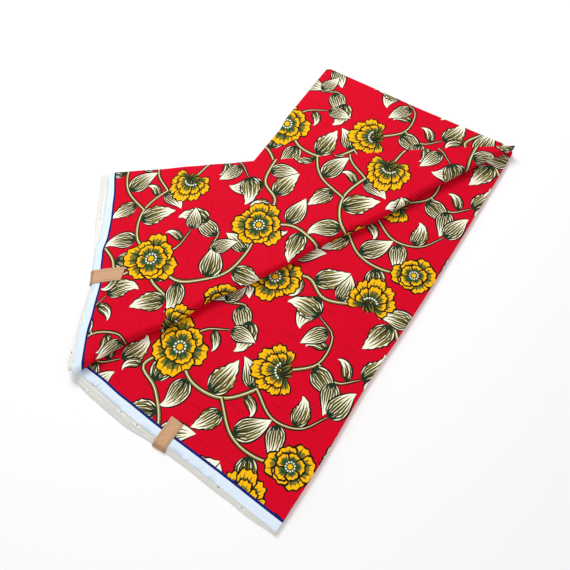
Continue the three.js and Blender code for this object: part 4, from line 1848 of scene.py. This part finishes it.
@dataclass
class FoldedLayers:
    """The hidden layers of one stack, which show as noses at its folded edges.

    Attributes:
        packet: the packet that they belong to.
        name: the piece's name.
        node: the plain solid that they stand for.
        base: how high they start.
        rings: how many rings of points shape the noses.
        finish: the finish of their folds.
    """

    packet: Packet
    name: str
    node: str
    base: float
    rings: int = 29
    finish: LayersFinish = LayersFinish()

    def outline(self) -> tuple[np.ndarray, np.ndarray]:
        """Draws the outline of the layers.

        Returns:
            The flat points, and for each the number of noses up its edge, 0 for a cut edge.
        """
        raise NotImplementedError

    def carry(self, flat: np.ndarray, high: np.ndarray | float) -> np.ndarray:
        """Carries flat points at a height in the stack to the shared frame."""
        return self.packet.to_frame(flat, self.base + high)

    def inset(self, high: float, noses: np.ndarray, at: np.ndarray) -> np.ndarray:
        """How far the edge is drawn in.

        Args:
            high: the height in the stack.
            noses: the number of noses at each point.
            at: each point's place along the outline.

        Returns:
            The inset at each point.
        """
        share = high / self.packet.hidden * np.maximum(noses, 1)
        nose = np.floor(np.clip(share, 0, noses - 1e-6))
        bulge = np.sqrt(np.clip(1 - (2 * (share - nose) - 1) ** 2, 0, 1))
        depth = np.where(noses > 4, 0.5, 1.0)
        uneven = 0.35 * (1 + np.sin(at / 47 + nose * 2.3)) + 0.2 * (1 + np.sin(at / 19 + nose * 4))
        return np.where(noses > 0, 0.15 + uneven * np.minimum(depth + 0.3, 1) + depth * (1 - bulge),
                        0.1)

    def build(self) -> bpy.types.Object:
        """Makes the piece.

        Returns:
            The piece.
        """
        flat, noses = self.outline()
        run = np.roll(flat, -1, axis=0) - np.roll(flat, 1, axis=0)
        inward = np.column_stack([-run[:, 1], run[:, 0]]) / np.linalg.norm(run, axis=1)[:, None]
        at = np.cumsum(np.linalg.norm(run, axis=1)) / 2
        build = bmesh.new()
        loops = []
        for k in range(self.rings):
            high = (self.packet.hidden - 0.15) * k / (self.rings - 1)
            points = flat + inward * self.inset(high, noses, at)[:, None]
            ring = [build.verts.new(p) for p in self.carry(points, high)]
            loops.append([build.edges.new((a, b)) for a, b in zip(ring, ring[1:] + ring[:1])])
            if k in (0, self.rings - 1):
                self.cap(build, ring, points, high, k > 0)
        for low, up in zip(loops, loops[1:]):
            bmesh.ops.bridge_loops(build, edges=low + up)
        bmesh.ops.remove_doubles(build, verts=build.verts, dist=1e-6)
        bmesh.ops.recalc_face_normals(build, faces=build.faces)
        mesh = bpy.data.meshes.new(self.name)
        build.to_mesh(mesh)
        build.free()
        mesh.materials.append(self.finish.material())
        mesh.shade_smooth()
        return rest_piece(self.name, mesh, "folded_layers", [self.node])

    def cap(self, build: bmesh.types.BMesh, ring: list[bmesh.types.BMVert], points: np.ndarray,
            high: float, upward: bool) -> None:
        """Closes the layers above or below.

        Args:
            build: the mesh in the making.
            ring: the outline's vertices.
            points: their flat points.
            high: their height in the stack.
            upward: whether the cap faces up.
        """
        low, up = points.min(0) + 6, points.max(0) - 6
        x, y = np.meshgrid(np.arange(low[0], up[0], 16), np.arange(low[1], up[1], 16))
        extra = np.column_stack([x.ravel(), y.ravel()])
        flat = [Vector(p) for p in np.vstack([points, extra])]
        made = delaunay_2d_cdt(flat, [], [list(range(len(points)))], 1, 1e-5, True)
        places = self.carry(np.array([tuple(p) for p in made[0]]), high)
        own = {}
        for k, origins in enumerate(made[3]):
            kept = [i for i in origins if i < len(ring)]
            own[k] = ring[kept[0]] if kept else None
        for face in (f for f, owners in zip(made[2], made[5]) if owners):
            for k in face:
                if own[k] is None:
                    own[k] = build.verts.new(places[k])
            corners = [own[k] for k in face]
            build.faces.new(corners if upward else corners[::-1])


def side_points(start: Sequence[float], end: Sequence[float], step: float = 8.0) -> np.ndarray:
    """Points from one place towards another, without the last.

    Args:
        start: the first place.
        end: the place that they run to.
        step: about how far apart they are.

    Returns:
        The points.
    """
    start, end = np.array(start, float), np.array(end, float)
    count = max(2, round(float(np.linalg.norm(end - start)) / step))
    return start + (end - start) * (np.arange(count) / count)[:, None]


@dataclass
class LowerLayers(FoldedLayers):
    """The hidden layers of the lower half."""

    def outline(self) -> tuple[np.ndarray, np.ndarray]:
        """Draws the outline of the layers.

        Returns:
            The flat points, and for each the number of noses up its edge.
        """
        p = self.packet
        start = p.leaf_depth + 0.3
        cut = 4.0
        sides = [((3, start), (p.width, start), 0), ((p.width, start), (p.width, p.length - cut), 3),
                 ((p.width - 0.6, p.length - 0.6), (p.width - cut, p.length), 3),
                 ((p.width - cut - 8, p.length), (cut, p.length), 7),
                 ((0.6, p.length - 0.6), (0, p.length - cut), 3),
                 ((0, p.length - cut - 8), (0, start), 3)]
        points = [side_points(a, b) for a, b, _ in sides]
        noses = np.concatenate([np.full(len(s), row[2]) for s, row in zip(points, sides)])
        flat = np.vstack(points)
        x, y = flat[:, 0], flat[:, 1]
        drift = np.column_stack([p.right_edge.out(y) * smooth(x / p.width),
                                 p.far_edge.out(x) * smooth(y / p.length - 0.2)])
        return flat + drift, noses


@dataclass
class UpperLayers(FoldedLayers):
    """The hidden layers of the upper half."""

    def outline(self) -> tuple[np.ndarray, np.ndarray]:
        """Draws the outline of the layers.

        Returns:
            The flat points, and for each the number of noses up its edge.
        """
        p = self.packet
        d = spread(50, p.diagonal - 28, 8)
        fold = p.behind_fold(d, p.roll(d) + 1.5)
        cut = 4.0
        sides = [((fold[-1, 0], p.length), (cut, p.length), 7),
                 ((0.6, p.length - 0.6), (0, p.length - cut), 3),
                 ((0, p.length - cut - 8), (0, fold[0, 1] + 4), 3)]
        points = [side_points(a, b) for a, b, _ in sides]
        noses = np.concatenate([np.full(len(s), row[2]) for s, row in zip(points, sides)])
        flat = np.vstack(points)
        x, y = flat[:, 0], flat[:, 1]
        side = -p.left_edge.out(y) * smooth(y / 120) * smooth(1 - x / p.width)
        flat = flat + np.column_stack([side, p.far_edge.out(x) * smooth(y / p.length - 0.2)])
        return np.vstack([fold, flat]), np.concatenate([np.zeros(len(fold), int), noses])


@dataclass
class FlapLayers(FoldedLayers):
    """The hidden layers of the flap."""

    def outline(self) -> tuple[np.ndarray, np.ndarray]:
        """Draws the outline of the layers.

        Returns:
            The flat points, and for each the number of noses up its edge.
        """
        p = self.packet
        start, last = p.leaf_depth + 0.3, p.length - 26
        slope = p.width / p.length
        long = side_points((p.width, start), (p.width, last))
        fold = side_points((last * slope + 7.5, last), (start * slope + 7.5, start))
        cut = side_points((start * slope + 7.5, start), (p.width, start))
        tip = side_points((p.width, last), (last * slope + 7.5, last), 4)
        noses = np.concatenate([np.zeros(len(cut), int), np.full(len(long), 3),
                                np.zeros(len(tip) + len(fold), int)])
        return np.vstack([cut, long, tip, fold]), noses

    def carry(self, flat: np.ndarray, high: np.ndarray | float) -> np.ndarray:
        """Carries flat points at a height in the stack to the shared frame.

        Args:
            flat: the flat points.
            high: their height in the stack.

        Returns:
            The points in metres.
        """
        p = self.packet
        plan = FlapCloth(p).plan(flat)
        swell = p.puff(plan) * high / p.hidden
        return p.to_frame(plan, self.base + high + swell - p.sink(plan[:, 0]))


@dataclass
class PaperLabel:
    """A paper band that is folded over the end of a stack.

    Attributes:
        packet: the packet that it holds.
        name: the piece's name.
        node: the plain solid that it stands for.
        start: where it starts along the selvedge.
        end: where it ends along the selvedge.
        reach: how far it lies on the cloth.
        slant: how much further it reaches at its far side.
        on_flap: whether it lies on the flap or on the lower half.
        lift: how far it lies over the cloth's face.
        thick: its thickness.
        column_gap: the distance between its columns of points.
        rows: how many rows of points it has.
        finish: the paper's finish.
        turns: its way round the end: the share of the way out to the lowest leaf, the distance past
            it and the height.
    """

    packet: Packet
    name: str
    node: str
    start: float
    end: float
    reach: float
    slant: float = 0.0
    on_flap: bool = False
    lift: float = 0.35
    thick: float = 0.3
    column_gap: float = 2.2
    rows: int = 64
    finish: PaperFinish = PaperFinish()
    turns: tuple[tuple[float, float, float], ...] = (
        (0, -3.0, 0.1), (0, 0.5, -0.1), (0.25, 1.3, -1.1), (0.6, 1.5, -2.8), (1, 1.5, -4.6),
        (1, 1.1, -5.5), (1, -1.5, -5.75))

    def profile(self, x: float) -> np.ndarray:
        """Draws the band's run at a place along the selvedge.

        Args:
            x: the place.

        Returns:
            Pairs of the distance in over the cloth and the height over its face.
        """
        p = self.packet
        edge = float((p.flap_selvedge if self.on_flap else p.near_edge).out(x))
        last = float((p.flap_leaves if self.on_flap else p.near_leaves).out(x))
        far = self.reach + self.slant * (x - self.start) / (self.end - self.start)
        rows = [(far, self.lift + 0.25), (far * 0.66, self.lift), (far * 0.33, self.lift)]
        for share, off, z in self.turns:
            rows.append((-(edge + share * (last - edge) + off), self.lift + z))
        return flowing(rows, 0.8)

    def build(self) -> bpy.types.Object:
        """Makes the piece.

        Returns:
            The piece.
        """
        columns = spread(self.start, self.end, self.column_gap)
        lines = [self.profile(float(x)) for x in columns]
        last, down = len(columns) - 1, self.rows - 1
        build = bmesh.new()
        bmesh.ops.create_grid(build, x_segments=last, y_segments=down, size=1.0)
        layer = build.loops.layers.uv.new("OFBake")
        places = {}
        for vert in build.verts:
            i = round((vert.co.x + 1) / 2 * last)
            j = round((vert.co.y + 1) / 2 * down)
            places[vert] = (i / last, j / down)
            line = lines[i]
            far = np.concatenate([[0], np.cumsum(np.linalg.norm(np.diff(line, axis=0), axis=1))])
            at = far[-1] * j / down
            y, z = (float(np.interp(at, far, line[:, k])) for k in (0, 1))
            vert.co = Vector(self.carry(float(columns[i]), y, z))
        for face in build.faces:
            for loop in face.loops:
                loop[layer].uv = places[loop.vert]
        bmesh.ops.recalc_face_normals(build, faces=build.faces)
        if sum(f.normal.z for f in build.faces) < 0:
            bmesh.ops.reverse_faces(build, faces=build.faces)
        mesh = bpy.data.meshes.new(self.name)
        build.to_mesh(mesh)
        build.free()
        mesh.materials.append(self.finish.material())
        mesh.shade_smooth()
        piece = rest_piece(self.name, mesh, "label_paper", [self.node])
        wall = piece.modifiers.new("Thickness", "SOLIDIFY")
        wall.thickness, wall.offset = self.thick * MM, 1.0
        return piece

    def carry(self, x: float, y: float, z: float) -> np.ndarray:
        """Carries a point of the band to the shared frame.

        Args:
            x: its place along the selvedge.
            y: its distance in over the cloth.
            z: its height over the cloth's face.

        Returns:
            The point in metres.
        """
        p = self.packet
        flat = np.array([[x, y]])
        if not self.on_flap:
            return p.to_frame(flat, p.stack + z)[0]
        flap = FlapCloth(p)
        plan = flap.plan(flat)
        return p.to_frame(plan, flap.face(plan) + z)[0]


@dataclass(frozen=True)
class Studio:
    """A plain white floor under soft light from the upper left, and the camera.

    Attributes:
        place: where the camera stands in the shared frame, in metres.
        elevation: how steeply it looks down, in degrees.
        azimuth: the way that it looks, in degrees.
        tilt: its roll, in degrees.
        focal: its focal length in pixels of the picture.
        floor_colour: the floor's colour.
        room_light: how bright the room is.
    """

    place: tuple[float, float, float] = (0.28443, -0.24122, 0.61055)
    elevation: float = 65.374
    azimuth: float = 44.696
    tilt: float = -11.266
    focal: float = 512.96
    floor_colour: tuple[float, float, float, float] = (0.98, 0.98, 0.98, 1.0)
    room_light: float = 0.58

    def camera(self) -> None:
        """Sets up the camera."""
        el, az, roll = (math.radians(a) for a in (self.elevation, self.azimuth, self.tilt))
        ahead = Vector((-math.cos(el) * math.sin(az), math.cos(el) * math.cos(az), -math.sin(el)))
        right = Vector((math.cos(az), math.sin(az), 0.0))
        up = right.cross(ahead)
        side = math.cos(roll) * right + math.sin(roll) * up
        top = -math.sin(roll) * right + math.cos(roll) * up
        data = bpy.data.cameras.new("Camera")
        data.sensor_fit, data.sensor_width = "HORIZONTAL", 36.0
        data.lens = self.focal / PHOTO_SIDE * data.sensor_width
        camera = bpy.data.objects.new("Camera", data)
        bpy.context.scene.collection.objects.link(camera)
        turn = Matrix((side, top, -ahead)).transposed().to_4x4()
        camera.matrix_world = Matrix.Translation(self.place) @ turn
        bpy.context.scene.camera = camera

    def floor(self) -> None:
        """Lays the floor."""
        build = bmesh.new()
        bmesh.ops.create_grid(build, x_segments=1, y_segments=1, size=4.0)
        mesh = bpy.data.meshes.new("floor")
        build.to_mesh(mesh)
        build.free()
        s = Shader("white_floor")
        s.surface.inputs["Base Color"].default_value = self.floor_colour
        s.surface.inputs["Roughness"].default_value = 0.9
        mesh.materials.append(s.material)
        floor = bpy.data.objects.new("floor", mesh)
        floor.location.z = -0.0002
        bpy.context.scene.collection.objects.link(floor)

    def lamp(self, name: str, place: Sequence[float], power: float, size: float) -> None:
        """Hangs a soft square lamp that faces the cloth.

        Args:
            name: its name.
            place: where it hangs, in metres.
            power: its power in watts.
            size: the length of its sides in metres.
        """
        data = bpy.data.lights.new(name, "AREA")
        data.energy, data.size = power, size
        lamp = bpy.data.objects.new(name, data)
        lamp.location = place
        lamp.rotation_euler = (-Vector(place)).to_track_quat("-Z", "Y").to_euler()
        bpy.context.scene.collection.objects.link(lamp)

    def light(self) -> None:
        """Sets up the lamps and the bright room."""
        world = bpy.data.worlds.new("room")
        world.use_nodes = True
        back = world.node_tree.nodes["Background"]
        back.inputs["Color"].default_value = (1.0, 1.0, 1.0, 1.0)
        back.inputs["Strength"].default_value = self.room_light
        bpy.context.scene.world = world
        self.lamp("key", (-0.65, 0.6, 1.2), 13.0, 0.6)
        self.lamp("fill", (0.5, -0.9, 1.1), 3.0, 1.2)

    def build(self) -> None:
        """Sets up the whole studio."""
        bpy.context.scene.view_settings.view_transform = "Standard"
        self.camera()
        self.floor()
        self.light()


def build_cloths(packet: Packet) -> None:
    """Makes the printed cloths, their hidden layers and their open selvedges.

    Args:
        packet: the packet's sizes.
    """
    whole = (packet.width * MM, packet.length * MM)
    half = 0.5 * whole[0] * whole[1]
    LowerCloth(packet, "lower_cloth", ("lower_sheet",), rests_on=("lower_layers",)).build(whole)
    UpperCloth(packet, "upper_cloth", ("upper_sheet",), rests_on=("upper_layers",)).build(
        whole, half)
    FlapCloth(packet, "flap_cloth", ("flap_sheet",), rests_on=("flap_layers",)).build(
        (whole[0] + 0.03, whole[1]), half + 0.012)
    LowerLayers(packet, "lower_layers", "lower_core", packet.levels[0]).build()
    UpperLayers(packet, "upper_layers", "upper_core", packet.levels[1]).build()
    FlapLayers(packet, "flap_layers", "flap_core", packet.levels[2]).build()
    for on_flap, stack in ((False, "lower"), (True, "flap")):
        for number in range(len(LEAF_STEPS)):
            node = f"{stack}_selvedge_{number * 4 // len(LEAF_STEPS) + 1}"
            leaf = SelvedgeLeaf(packet, f"{stack}_leaf_{number + 1}", (node,), number=number,
                                on_flap=on_flap, mirrored=on_flap,
                                rests_on=(f"{stack}_layers",))
            leaf.build((whole[0], 0.047))


def build_labels(packet: Packet) -> None:
    """Makes the two paper labels.

    Args:
        packet: the packet that they hold.
    """
    PaperLabel(packet, "front_band", "front_label", 134.5, 152.5, 30.5).build()
    PaperLabel(packet, "side_band", "side_label", 121.5, 142.5, 47.5, 3.0, on_flap=True).build()


def main() -> None:
    """Builds the dressed cloth and its studio."""
    logging.basicConfig(level=logging.INFO, format="%(message)s")
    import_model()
    packet = Packet()
    Studio().build()
    log.info("studio ready")
    build_cloths(packet)
    log.info("cloths ready")
    build_labels(packet)
    log.info("labels ready")


if __name__ == "__main__":
    main()
